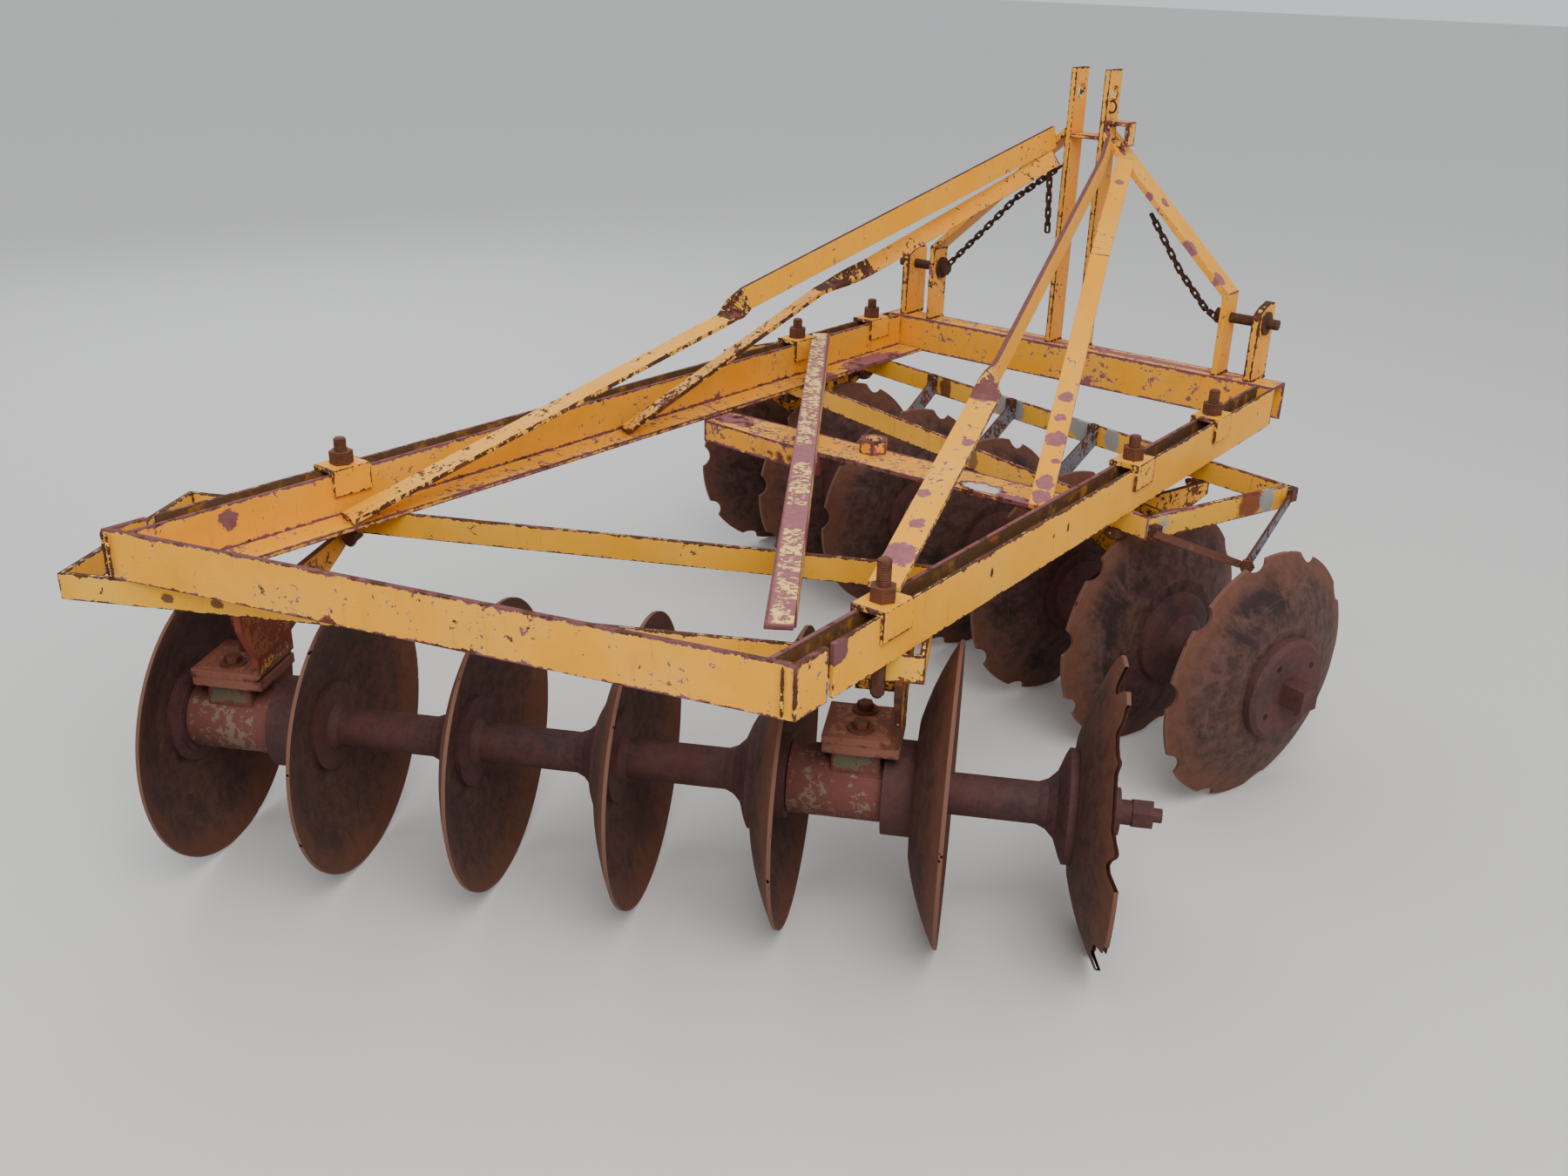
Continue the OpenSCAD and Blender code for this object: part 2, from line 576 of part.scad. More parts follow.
// where a clamp bolt stands: in the beam's slot, just beside the gang frame's bar
function clamp_spot(row) = let (
        a = hoop_corner(row, row[2]),
        along = unit(hoop_corner(row, row[2] + 1) - a),
        inward = left_of(along),
        ahead = (row[2] == 0 ? 1 : -1) * row[3],
        off = ahead > 0 ? hoop_thick + clamp_radius + 0.5 : -clamp_radius - 0.5)
    crossing(beam_start(row[0]) + slot_x * beam_across(row[0]), beam_along(row[0]), a + off * inward, along);
function bar_heading(row) = let (d = hoop_corner(row, row[2] + 1) - hoop_corner(row, row[2])) atan2(d[1], d[0]);

clamp_half = slot_gap / 2 + flat_thick + 6;
module saddle_at(row) let (spot = clamp_spot(row)) translate([spot[0], spot[1], frame_top])
    rotate([0, 0, beam_turn(row[0])]) children();

module clamp_saddles() color("gold") place() for (row = clamp_table) saddle_at(row) {
    difference() {
        translate([-clamp_half, -37, 0]) cube([2 * clamp_half, 74, 8]);
        translate([0, 0, -1]) cylinder(h = 10, r = clamp_radius + 0.5, $fn = 32);
    }
    translate([-clamp_half, -37, -40]) cube([5.9, 74, 40]);
    translate([clamp_half - 5.9, -37, -40]) cube([5.9, 74, 40]);
}

module clamp_bolts() color("saddlebrown") place() for (row = clamp_table) {
    spot = clamp_spot(row);
    low = bottom - hoop_height - 14;
    inner = (row[2] == 0 ? 1 : -1) * row[3] > 0;
    translate([spot[0], spot[1], 0]) {
        translate([0, 0, low]) cylinder(h = frame_top + 8 + 22 + row[4] - low, r = clamp_radius, $fn = 32);
        translate([0, 0, frame_top + 8]) cylinder(h = 22, r = 20, $fn = 6);
        rotate([0, 0, bar_heading(row) + (inner ? 0 : 180)]) translate([-9, -32, low]) cube([18, 32, 13.9]);
    }
}

rear_crossbar();
front_crossbar();
left_outer_flat();
right_outer_flat();
left_inner_angle();
right_inner_angle();
mid_channel();
diagonal_brace();
left_mast_post();
right_mast_post();
mast_bracket();
left_long_stay();
left_short_stay();
right_long_stay();
right_short_stay();
left_hitch_strut();
right_hitch_strut();
left_clevis_plate();
right_clevis_plate();
left_low_pin();
right_low_pin();
left_chain();
right_chain();
spare_chain();
rear_gang_bars();
rear_gang_ends();
front_gang_bars();
front_gang_ends();
rear_standards();
front_standards();
rear_bearings();
front_bearings();
scrapers();
clamp_saddles();
clamp_bolts();
rear_discs();
rear_spools();
rear_gang_bolt();
front_discs();
front_spools();
front_gang_bolt();
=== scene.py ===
"""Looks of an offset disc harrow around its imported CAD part: worn paint, rusty discs, bolts, small parts.

Metres, in the row frame: +X the machine's right, +Y the way it is drawn, +Z up, ground at z = 0.
"""

import json
import math

import bpy
import numpy as np
from mathutils import Matrix, Vector


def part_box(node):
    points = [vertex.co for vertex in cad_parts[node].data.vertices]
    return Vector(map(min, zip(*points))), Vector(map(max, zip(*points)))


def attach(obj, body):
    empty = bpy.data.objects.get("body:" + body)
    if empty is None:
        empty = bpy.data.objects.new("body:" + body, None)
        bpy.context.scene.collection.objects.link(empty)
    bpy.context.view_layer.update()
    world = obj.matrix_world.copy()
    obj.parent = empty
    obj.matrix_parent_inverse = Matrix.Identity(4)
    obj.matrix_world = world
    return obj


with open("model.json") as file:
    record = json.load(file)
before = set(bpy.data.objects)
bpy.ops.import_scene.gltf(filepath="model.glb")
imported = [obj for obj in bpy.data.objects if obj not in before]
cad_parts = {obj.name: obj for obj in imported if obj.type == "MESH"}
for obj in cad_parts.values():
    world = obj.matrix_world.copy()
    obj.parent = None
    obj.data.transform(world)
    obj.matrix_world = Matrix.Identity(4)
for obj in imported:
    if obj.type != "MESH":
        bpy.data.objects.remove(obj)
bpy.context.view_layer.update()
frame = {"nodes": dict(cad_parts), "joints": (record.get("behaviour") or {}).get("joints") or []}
NODES = frame["nodes"]
JOINT = {joint["child"]: joint for joint in frame["joints"]}

UP = np.array([0, 0, 1.0])
# a face that looks up and is narrower than this is worn over its whole width
NARROW_FACE = 0.014
# a face counts as flat when the mean of its triangles' normals is at least this long
FLAT_ENOUGH = 0.97
# points this close to an end or a level count as lying on it
SAME_PLACE = 0.001
CAMERA_PLACE = (1.4662, -1.9505, 1.4052)
CAMERA_YAW, CAMERA_PITCH, CAMERA_ROLL = math.radians(38.042), math.radians(23.938), math.radians(-1.567)
FOCAL_SHARE = 1649.5 / 1800
SENSOR_WIDTH = 36.0


# colours
def srgb(r, g, b):
    """Linear colour of a screen colour given as 0 to 255: ((c + 0.055) / 1.055) to the power 2.4, or c /
    12.92 when dark."""
    c = np.array([r, g, b]) / 255
    return tuple(np.where(c > 0.04045, ((c + 0.055) / 1.055) ** 2.4, c / 12.92)) + (1.0,)


YELLOW = srgb(242, 162, 8)
DEEP_YELLOW = srgb(238, 154, 10)
HOOP_YELLOW = srgb(234, 166, 26)
CREAM = srgb(246, 206, 116)
PAD_PINK = srgb(134, 86, 72)
HOUSING_PINK = srgb(116, 68, 60)
RED_RUST = srgb(124, 58, 42)
# painted shade: the dark inside holes and the crack
PAINTED_HOLE_SHADE = srgb(34, 22, 18)
SLOT_DIRT = srgb(84, 64, 46)
PRIMER = srgb(158, 98, 104)
BROWN = srgb(88, 52, 38)
DARK_BROWN = srgb(58, 36, 30)
ORANGE = srgb(150, 84, 44)
PURPLE = srgb(92, 64, 64)
MAROON = srgb(112, 48, 42)
GREY = srgb(140, 146, 150)


# shader helpers
def add(tree, kind, inputs=(), **settings):
    """Adds a node, sets its settings, then links or sets each (input, value) pair."""
    made = tree.nodes.new(kind)
    for key, value in settings.items():
        setattr(made, key, value)
    for key, value in inputs:
        if isinstance(value, bpy.types.NodeSocket):
            tree.links.new(value, made.inputs[key])
        else:
            made.inputs[key].default_value = value
    return made


def math_node(tree, operation, a, b=0.0, clamp=False):
    """One arithmetic step on a and b; clamp keeps the result between 0 and 1."""
    return add(tree, "ShaderNodeMath", [(0, a), (1, b)], operation=operation, use_clamp=clamp).outputs[0]


def times(tree, a, b):
    """a multiplied by b."""
    return math_node(tree, "MULTIPLY", a, b)


def plus(tree, a, b, clamp=False):
    """The sum of a and b."""
    return math_node(tree, "ADD", a, b, clamp)


def minus(tree, a, b, clamp=False):
    """a less b."""
    return math_node(tree, "SUBTRACT", a, b, clamp)


def parts(tree, vector):
    """The three parts of a vector."""
    return add(tree, "ShaderNodeSeparateXYZ", [(0, vector)]).outputs


def ramp(tree, value, low, high, to_low=0.0, to_high=1.0):
    """Smooth step of value from low..high to to_low..to_high."""
    return add(tree, "ShaderNodeMapRange",
               [("Value", value), ("From Min", low), ("From Max", high), ("To Min", to_low),
                ("To Max", to_high)], interpolation_type="SMOOTHSTEP").outputs["Result"]


def blend(tree, share, a, b):
    """Colour a times one less the share, plus colour b times the share."""
    return add(tree, "ShaderNodeMix", [(0, share), (6, a), (7, b)], data_type="RGBA").outputs[2]


def noise(tree, place, scale, detail=4.0, rough=0.6, distortion=0.0):
    """Perlin noise and detail finer ones, each twice as fine and rough times as strong as the one before,
    scaled back to 0 to 1. Distortion first moves the place by another noise."""
    return add(tree, "ShaderNodeTexNoise",
               [("Vector", place), ("Scale", scale), ("Detail", detail), ("Roughness", rough),
                ("Distortion", distortion)]).outputs["Fac"]


def stretched(tree, place, scale):
    """Position multiplied by a vector. A noise on it is drawn out along an axis whose factor is small."""
    return add(tree, "ShaderNodeVectorMath", [(0, place), (1, scale)], operation="MULTIPLY").outputs[0]


def group(name, inputs, outputs):
    """A shader node group with named sockets; returns the tree with its input and output nodes."""
    tree = bpy.data.node_groups.new(name, "ShaderNodeTree")
    for label, kind, value in inputs:
        socket = tree.interface.new_socket(label, in_out="INPUT", socket_type="NodeSocket" + kind)
        if value is not None:
            socket.default_value = value
    for label, kind in outputs:
        tree.interface.new_socket(label, in_out="OUTPUT", socket_type="NodeSocket" + kind)
    return tree, tree.nodes.new("NodeGroupInput"), tree.nodes.new("NodeGroupOutput")


# the wear at which a chip's pale rim starts, the chip itself starts, and the paint is gone
RIM_START = 0.610
CHIP_START = 0.628
CHIP_FULL = 0.640
# how fast the wear fades away from an edge, as a power
EDGE_FALL = 1.4


def worn_paint_group():
    """Paint broken by chips. A chip shows where noise of two scales is over a limit. The nearness of an edge,
    a narrow or upward face, a bare spot and a broad noise add to it. Under it lies primer or rust, told apart
    by another noise. A broken pale line along each edge is a painted highlight, rust streaks run down
    upright faces, dirt darkens the paint in clouds, and faces that look down are browner: painted shade."""
    tree, get, put = group("Worn paint", [
        ("Place", "Vector", None), ("Side gaps", "Vector", None), ("End gaps", "Vector", None),
        ("Facing", "Vector", None),
        ("Paint", "Color", YELLOW), ("Primer", "Color", PRIMER), ("Rust", "Color", BROWN),
        ("Worn paint", "Color", CREAM),
        ("Chips", "Float", 0.3), ("Edge width", "Float", 0.006), ("Dirt", "Float", 0.4),
        ("Bare", "Float", 0.0),
        ("Primer share", "Float", 0.5)],
        [("Color", "Color"), ("Roughness", "Float"), ("Height", "Float")])
    g = get.outputs
    place = g["Place"]
    side = parts(tree, g["Side gaps"])
    end = parts(tree, g["End gaps"])
    up = parts(tree, g["Facing"])["Z"]
    gap = math_node(tree, "MINIMUM", math_node(tree, "MINIMUM", side[0], side[1]),
                    math_node(tree, "MINIMUM", end[0], end[1]))
    fine = noise(tree, place, 95.0, 6.0, 0.68, 0.3)
    mid = noise(tree, place, 27.0, 5.0, 0.6, 0.4)
    broad = noise(tree, place, 6.5, 3.0, 0.55)
    speck = noise(tree, place, 420.0, 3.0, 0.6)
    share = math_node(tree, "DIVIDE", gap, g["Edge width"])
    near = math_node(tree, "POWER", ramp(tree, share, 0.0, 1.0, 1.0, 0.0), EDGE_FALL)
    top_edge = times(tree, near, ramp(tree, up, -0.2, 0.9, 0.8, 1.2))
    narrow = side[2]
    level = plus(tree, times(tree, fine, 0.62), times(tree, mid, 0.38))
    level = plus(tree, level, times(tree, top_edge, plus(tree, 0.13, times(tree, g["Chips"], 0.2))))
    level = plus(tree, level, times(tree, narrow, 0.10))
    level = plus(tree, level, times(tree, minus(tree, g["Chips"], 0.3), 0.3))
    level = plus(tree, level, ramp(tree, up, 0.7, 0.95, 0.0, 0.035))
    level = plus(tree, level, times(tree, minus(tree, broad, 0.5), 0.22))
    level = plus(tree, level, times(tree, g["Bare"], 0.3))
    chip = ramp(tree, level, CHIP_START, CHIP_FULL)
    rim_of_chip = minus(tree, ramp(tree, level, RIM_START, CHIP_START), chip, True)
    # colour of the bare places
    kind = noise(tree, place, 38.0, 4.0, 0.6)
    primer_here = ramp(tree, plus(tree, kind, minus(tree, g["Primer share"], 0.5)), 0.46, 0.56)
    primer_here = times(tree, primer_here, ramp(tree, top_edge, 0.25, 0.9, 1.0, 0.35))
    rust = blend(tree, ramp(tree, speck, 0.35, 0.7), g["Rust"], DARK_BROWN)
    rust = blend(tree, ramp(tree, mid, 0.5, 0.75, 0.0, 0.5), rust, ORANGE)
    primer = blend(tree, ramp(tree, fine, 0.3, 0.8, 0.0, 0.45), g["Primer"], PURPLE)
    bare = blend(tree, primer_here, rust, primer)
    # colour of the paint
    paint = blend(tree, ramp(tree, broad, 0.3, 0.72, 0.0, 0.2), g["Paint"], g["Worn paint"])
    # painted highlight: a broken pale line just inside each edge
    line = times(tree, ramp(tree, gap, 0.0007, 0.0030, 0.62, 0.0), ramp(tree, mid, 0.32, 0.6))
    paint = blend(tree, line, paint, g["Worn paint"])
    paint = blend(tree, times(tree, narrow, 0.6), paint, g["Worn paint"])
    clouds = ramp(tree, noise(tree, place, 15.0, 6.0, 0.7), 0.48, 0.78)
    paint = blend(tree, times(tree, times(tree, clouds, g["Dirt"]), 0.42), paint, srgb(150, 112, 52))
    upright = ramp(tree, math_node(tree, "ABSOLUTE", up), 0.3, 0.8, 1.0, 0.0)
    runs = noise(tree, stretched(tree, place, (88.0, 88.0, 7.0)), 1.0, 4.0, 0.6)
    runs = times(tree, ramp(tree, plus(tree, runs, times(tree, near, 0.08)), 0.60, 0.74), upright)
    paint = blend(tree, times(tree, runs, times(tree, g["Dirt"], 0.75)), paint, ORANGE)
    paint = blend(tree, ramp(tree, speck, 0.66, 0.78, 0.0, 0.5), paint, BROWN)
    # painted shade: faces that look down are browner
    paint = blend(tree, ramp(tree, up, -0.9, -0.3, 0.35, 0.0), paint, BROWN)
    color = blend(tree, times(tree, rim_of_chip, 0.55), paint, g["Worn paint"])
    color = blend(tree, chip, color, bare)
    rough = ramp(tree, chip, 0.0, 1.0, 0.58, 0.9)
    rough = plus(tree, rough, times(tree, minus(tree, fine, 0.5), 0.18), True)
    height = minus(tree, times(tree, mid, 0.25), times(tree, chip, 0.6))
    height = plus(tree, height, times(tree, times(tree, speck, chip), 0.5))
    for key, value in (("Color", color), ("Roughness", rough), ("Height", height)):
        tree.links.new(value, put.inputs[key])
    return tree


def bare_spot_group():
    """Whether a point lies in a ragged ellipsoid: 1 up to three quarters of the way out, falling to 0 just
    past its surface, the distance shifted by noise. Before is kept where it is more."""
    tree, get, put = group("Bare spot", [
        ("Place", "Vector", None), ("Centre", "Vector", (0, 0, 0)), ("Size", "Vector", (1, 1, 1)),
        ("Before", "Float", 0.0)], [("Spot", "Float")])
    g = get.outputs
    away = add(tree, "ShaderNodeVectorMath", [(0, g["Place"]), (1, g["Centre"])],
               operation="SUBTRACT").outputs[0]
    away = add(tree, "ShaderNodeVectorMath", [(0, away), (1, g["Size"])], operation="DIVIDE").outputs[0]
    far = add(tree, "ShaderNodeVectorMath", [(0, away)], operation="LENGTH").outputs["Value"]
    far = plus(tree, far, times(tree, minus(tree, noise(tree, g["Place"], 60.0, 4.0), 0.5), 1.3))
    spot = math_node(tree, "MAXIMUM", ramp(tree, far, 0.75, 1.05, 1.0, 0.0), g["Before"])
    tree.links.new(spot, put.inputs["Spot"])
    return tree


def rusty_steel_group():
    """Old rust: two browns, dust, dark stains and pale specks, mixed by noises of three scales."""
    tree, get, put = group("Rusty steel", [
        ("Place", "Vector", None), ("Base", "Color", BROWN), ("Dark", "Color", DARK_BROWN),
        ("Dust", "Color", ORANGE),
        ("Dust share", "Float", 0.3), ("Stain share", "Float", 0.4)],
        [("Color", "Color"), ("Roughness", "Float"), ("Metallic", "Float"), ("Height", "Float")])
    g = get.outputs
    place = g["Place"]
    fine = noise(tree, place, 230.0, 5.0, 0.7)
    mid = noise(tree, place, 48.0, 6.0, 0.66, 0.3)
    broad = noise(tree, place, 9.0, 4.0, 0.6, 0.4)
    color = blend(tree, ramp(tree, mid, 0.35, 0.68), g["Base"], g["Dark"])
    dust = times(tree, ramp(tree, plus(tree, fine, times(tree, broad, 0.6)), 0.62, 0.98), g["Dust share"])
    color = blend(tree, dust, color, g["Dust"])
    stain = times(tree, ramp(tree, broad, 0.52, 0.66), g["Stain share"])
    color = blend(tree, stain, color, srgb(34, 27, 27))
    color = blend(tree, ramp(tree, fine, 0.70, 0.80, 0.0, 0.35), color, srgb(150, 118, 100))
    rough = ramp(tree, fine, 0.2, 0.8, 0.62, 0.92)
    metal = ramp(tree, mid, 0.3, 0.8, 0.25, 0.0)
    height = plus(tree, times(tree, fine, 0.4), times(tree, mid, 0.7))
    for key, value in (("Color", color), ("Roughness", rough), ("Metallic", metal), ("Height", height)):
        tree.links.new(value, put.inputs[key])
    return tree


WORN_PAINT, BARE_SPOT, RUSTY_STEEL = worn_paint_group(), bare_spot_group(), rusty_steel_group()


def attribute(tree, name):
    """The vector that the mesh stores for each corner under a name."""
    return add(tree, "ShaderNodeAttribute", attribute_name=name).outputs["Vector"]


# how deep the bumps of paint, steel and discs go
PAINT_DEPTH = 0.0006
STEEL_DEPTH = 0.0008
DISC_DEPTH = 0.0009


def finish_material(mat, tree, color, rough, metal, height, depth):
    """Connects the effects to the Principled BSDF; depth is how deep the bumps go, in metres."""
    shader = tree.nodes["Principled BSDF"]
    shader.inputs["Specular IOR Level"].default_value = 0.3
    bump = add(tree, "ShaderNodeBump", [("Height", height), ("Distance", depth), ("Strength", 0.9)])
    tree.links.new(bump.outputs[0], shader.inputs["Normal"])
    tree.links.new(color, shader.inputs["Base Color"])
    tree.links.new(rough, shader.inputs["Roughness"])
    if isinstance(metal, bpy.types.NodeSocket):
        tree.links.new(metal, shader.inputs["Metallic"])
    return mat


def new_material(name):
    """An empty material with its node tree and the object's own coordinates."""
    mat = bpy.data.materials.new(name)
    mat.use_nodes = True
    place = add(mat.node_tree, "ShaderNodeTexCoord").outputs["Object"]
    return mat, mat.node_tree, place


def spot_node(tree, place, row, before=0.0):
    """How far a place lies inside one spot, or before where that is more. The row holds the spot's middle and
    its size along x, y and z."""
    return add(tree, "ShaderNodeGroup", [("Place", place), ("Centre", row[:3]), ("Size", row[3:6]),
                                         ("Before", before)],
               node_tree=BARE_SPOT).outputs["Spot"]


def paint_material(name, paint, chips, edge=0.006, dirt=0.4, primer_share=0.5, spots=(), tints=(), worn=CREAM,
                   primer=PRIMER, slot=None):
    """Worn paint with bare spots and tinted spots: a spot's row is its middle and size, a tint's row adds its
    colour and strength. Faces that look along the slot direction are dirty and rusted."""
    mat, tree, place = new_material(name)
    mask = 0.0
    for row in spots:
        mask = spot_node(tree, place, row, mask)
    coat = add(tree, "ShaderNodeGroup", [
        ("Place", place), ("Side gaps", attribute(tree, "side_gaps")),
        ("End gaps", attribute(tree, "end_gaps")),
        ("Facing", attribute(tree, "facing")), ("Bare", mask), ("Paint", paint), ("Worn paint", worn),
        ("Primer", primer), ("Chips", chips), ("Edge width", edge), ("Dirt", dirt),
        ("Primer share", primer_share)],
        node_tree=WORN_PAINT).outputs
    color = coat["Color"]
    for row in tints:
        color = blend(tree, times(tree, spot_node(tree, place, row), row[7]), color, row[6])
    if slot:
        toward = add(tree, "ShaderNodeVectorMath", [(0, attribute(tree, "facing")), (1, slot)],
                     operation="DOT_PRODUCT").outputs["Value"]
        clouds = ramp(tree, noise(tree, place, 22.0, 5.0, 0.65), 0.28, 0.5, 0.55, 0.96)
        soil = blend(tree, ramp(tree, noise(tree, place, 60.0), 0.4, 0.65), SLOT_DIRT, BROWN)
        color = blend(tree, times(tree, ramp(tree, toward, 0.8, 0.95), clouds), color, soil)
    return finish_material(mat, tree, color, coat["Roughness"], None, coat["Height"], PAINT_DEPTH)


def rust_node(tree, place, base, dark, dust_color, dust, stain):
    """The outputs of the rusty steel group for three browns and the shares of dust and stain."""
    return add(tree, "ShaderNodeGroup", [
        ("Place", place), ("Base", base), ("Dark", dark), ("Dust", dust_color), ("Dust share", dust),
        ("Stain share", stain)], node_tree=RUSTY_STEEL).outputs


def steel_material(name, base, dark=DARK_BROWN, dust=0.3, stain=0.4, dust_color=ORANGE, pitch=0.0):
    """Rusty steel. With a pitch, its height gets the sine of the height over the ground, one turn for each
    pitch."""
    mat, tree, place = new_material(name)
    steel = rust_node(tree, place, base, dark, dust_color, dust, stain)
    height = steel["Height"]
    if pitch:
        level = parts(tree, place)["Z"]
        height = plus(tree, height, math_node(tree, "SINE", times(tree, level, 2 * math.pi / pitch)))
    return finish_material(mat, tree, color=steel["Color"], rough=steel["Roughness"], metal=steel["Metallic"],
                           height=height, depth=STEEL_DEPTH)


# a radius just past a disc's rim, the one where it starts to shine, and how far in nicks and bites reach
DISC_RIM = 0.2362
SHINE_START = 0.2335
NICK_DEPTH = 0.0022
TORN_DEPTH = 0.024
# radii over which the lighter band and the soil stains fade in, and the stains fade out
RUST_BAND = (0.172, 0.226)
SOIL_STARTS = (0.10, 0.16)
SOIL_ENDS = (0.19, 0.225)
# more than any place along a gang
NO_DISC = 9.0


def disc_material(name, base, rim_share, stain, torn_from=NO_DISC):
    """Rusty steel that changes with the radius on the disc: a lighter band near the rim, dark soil stains
    inside it, faint rings. The rim is nicked: what lies beyond a noisy radius is cut away. The discs whose
    place along the gang is over torn_from have deeper bites torn out all round."""
    mat, tree, place = new_material(name)
    steel = rust_node(tree, place, base, srgb(54, 37, 34), srgb(116, 74, 54), 0.2, 0.0)
    around = attribute(tree, "around")
    radius = parts(tree, around)[0]
    cloud = noise(tree, place, 11.0, 5.0, 0.65, 0.6)
    edge = plus(tree, radius, times(tree, minus(tree, cloud, 0.5), 0.11))
    band = ramp(tree, edge, *RUST_BAND)
    color = blend(tree, times(tree, band, rim_share), steel["Color"], srgb(118, 72, 50))
    stains = ramp(tree, noise(tree, place, 7.5, 6.0, 0.7, 0.8), 0.50, 0.62)
    soil = times(tree, stains, ramp(tree, radius, *SOIL_STARTS))
    soil = times(tree, soil, ramp(tree, radius, *SOIL_ENDS, 1.0, 0.0))
    color = blend(tree, times(tree, soil, stain), color, srgb(36, 29, 30))
    rings = noise(tree, stretched(tree, around, (260.0, 1.5, 1.5)), 1.0, 3.0, 0.6)
    color = blend(tree, ramp(tree, rings, 0.58, 0.75, 0.0, 0.22), color, srgb(128, 100, 90))
    bright = ramp(tree, plus(tree, radius, times(tree, cloud, 0.003)), SHINE_START, DISC_RIM)
    color = blend(tree, times(tree, bright, 0.3), color, srgb(136, 104, 88))
    nicks = noise(tree, stretched(tree, place, (34.0, 34.0, 34.0)), 1.0, 3.0, 0.6)
    limit = minus(tree, DISC_RIM, ramp(tree, nicks, 0.55, 0.75, 0.0, NICK_DEPTH))
    along = parts(tree, attribute(tree, "along"))[0]
    direction = stretched(tree, around, (0.0, 2.4, 2.4))
    bites = ramp(tree, noise(tree, direction, 1.0, 2.0, 0.45), 0.45, 0.62, 0.0, TORN_DEPTH)
    torn = times(tree, bites, math_node(tree, "GREATER_THAN", along, torn_from))
    limit = minus(tree, limit, torn)
    tree.links.new(math_node(tree, "LESS_THAN", radius, limit), tree.nodes["Principled BSDF"].inputs["Alpha"])
    return finish_material(mat, tree, color, steel["Roughness"], steel["Metallic"], steel["Height"],
                           DISC_DEPTH)


# what the meshes tell the materials
def corner_data(mesh):
    """Vertex positions, corner indices and face normals of a triangle mesh as arrays."""
    count = len(mesh.vertices)
    co = np.empty(count * 3, np.float32)
    mesh.vertices.foreach_get("co", co)
    corners = np.empty(len(mesh.loops), np.int32)
    mesh.loops.foreach_get("vertex_index", corners)
    flat = np.empty(len(mesh.polygons) * 3, np.float32)
    mesh.polygons.foreach_get("normal", flat)
    return co.reshape(-1, 3).astype(float), corners, flat.reshape(-1, 3).astype(float)


def put_corners(mesh, name, values):
    """Stores a vector for each corner of the mesh."""
    layer = mesh.attributes.new(name, "FLOAT_VECTOR", "CORNER")
    layer.data.foreach_set("vector", values.astype(np.float32).ravel())


def mark_edges(obj):
    """Gives each corner its gaps to the two long sides and the two ends of its flat face, and its triangle's
    normal. Faces are the sets of triangles joined by shared vertices; a face's long axis is the first
    principal axis of its points, its sides are at the least and greatest distance across that axis. The gaps
    change linearly over a face, so they hold between the corners too. A face's mean width is twice its area
    over its perimeter: a bent face, much narrower than its reach, gets a quarter of that width as its gap,
    and narrow faces that look up are flagged. A curved face counts as far from any edge."""
    mesh = obj.data
    co, corners, normals = corner_data(mesh)
    tris = corners.reshape(-1, 3)
    label = np.arange(len(co))
    while True:
        low = label[tris].min(1)
        fresh = label.copy()
        np.minimum.at(fresh, tris.ravel(), np.repeat(low, 3))
        fresh = fresh[fresh]
        if (fresh == label).all():
            break
        label = fresh
    face = label[tris[:, 0]]
    _, face = np.unique(face, return_inverse=True)
    order = np.argsort(face, kind="stable")
    starts = np.r_[0, np.flatnonzero(np.diff(face[order])) + 1, len(face)]
    sides, ends, facing = (np.zeros((len(corners), 3)) for _ in range(3))
    for a, b in zip(starts[:-1], starts[1:]):
        t = order[a:b]
        at = (t[:, None] * 3 + np.arange(3)).ravel()
        p = co[corners[at]]
        n = normals[t].sum(0)
        spread = np.linalg.norm(n) / len(t)
        facing[at] = np.repeat(normals[t], 3, 0)
        if spread < FLAT_ENOUGH:
            sides[at], ends[at] = 1.0, 1.0
            continue
        n = n / np.linalg.norm(n)
        own = np.unique(p.round(5), axis=0)
        away = own - own.mean(0)
        away -= np.outer(away @ n, n)
        axis = np.linalg.svd(away, full_matrices=False)[2][0]
        across = np.cross(n, axis)
        for target, direction in ((sides, across), (ends, axis)):
            s = p @ direction
            target[at, 0], target[at, 1] = s - s.min(), s.max() - s
        edge = np.sort(tris[t][:, [0, 1, 1, 2, 2, 0]].reshape(-1, 2), axis=1)
        edge, uses = np.unique(edge, axis=0, return_counts=True)
        rim = edge[uses == 1]
        perimeter = np.linalg.norm(co[rim[:, 0]] - co[rim[:, 1]], axis=1).sum()
        legs = co[tris[t]]
        area = np.linalg.norm(np.cross(legs[:, 1] - legs[:, 0], legs[:, 2] - legs[:, 0]), axis=1).sum() / 2
        width = 2 * area / perimeter
        if width < 0.5 * np.ptp(p @ across):
            sides[at, 0] = sides[at, 1] = width / 4
        sides[at, 2] = 1.0 if n[2] > 0.9 and width < NARROW_FACE else 0.0
    put_corners(mesh, "side_gaps", sides)
    put_corners(mesh, "end_gaps", ends)
    put_corners(mesh, "facing", facing)


def gang_axes(body):
    """The point of a gang's joint, its axis, and the level direction ahead of the axis: up crossed with the
    axis."""
    axis = np.array(JOINT[body]["axis"], float)
    axis = axis / np.linalg.norm(axis)
    return np.array(JOINT[body]["pos_m"]), axis, np.cross(UP, axis)


def mark_radius(obj, body):
    """Gives each corner its distance from the gang's axis, the cosine and sine of its angle around it, and
    its place along it."""
    co, corners, _ = corner_data(obj.data)
    origin, axis, ahead = gang_axes(body)
    away = co - origin
    y, z = away @ ahead, away[:, 2]
    radius = np.hypot(y, z)
    safe = np.maximum(radius, 1e-6)
    put_corners(obj.data, "around", np.stack([radius, y / safe, z / safe], 1)[corners])
    put_corners(obj.data, "along", np.stack([away @ axis, y, z], 1)[corners])


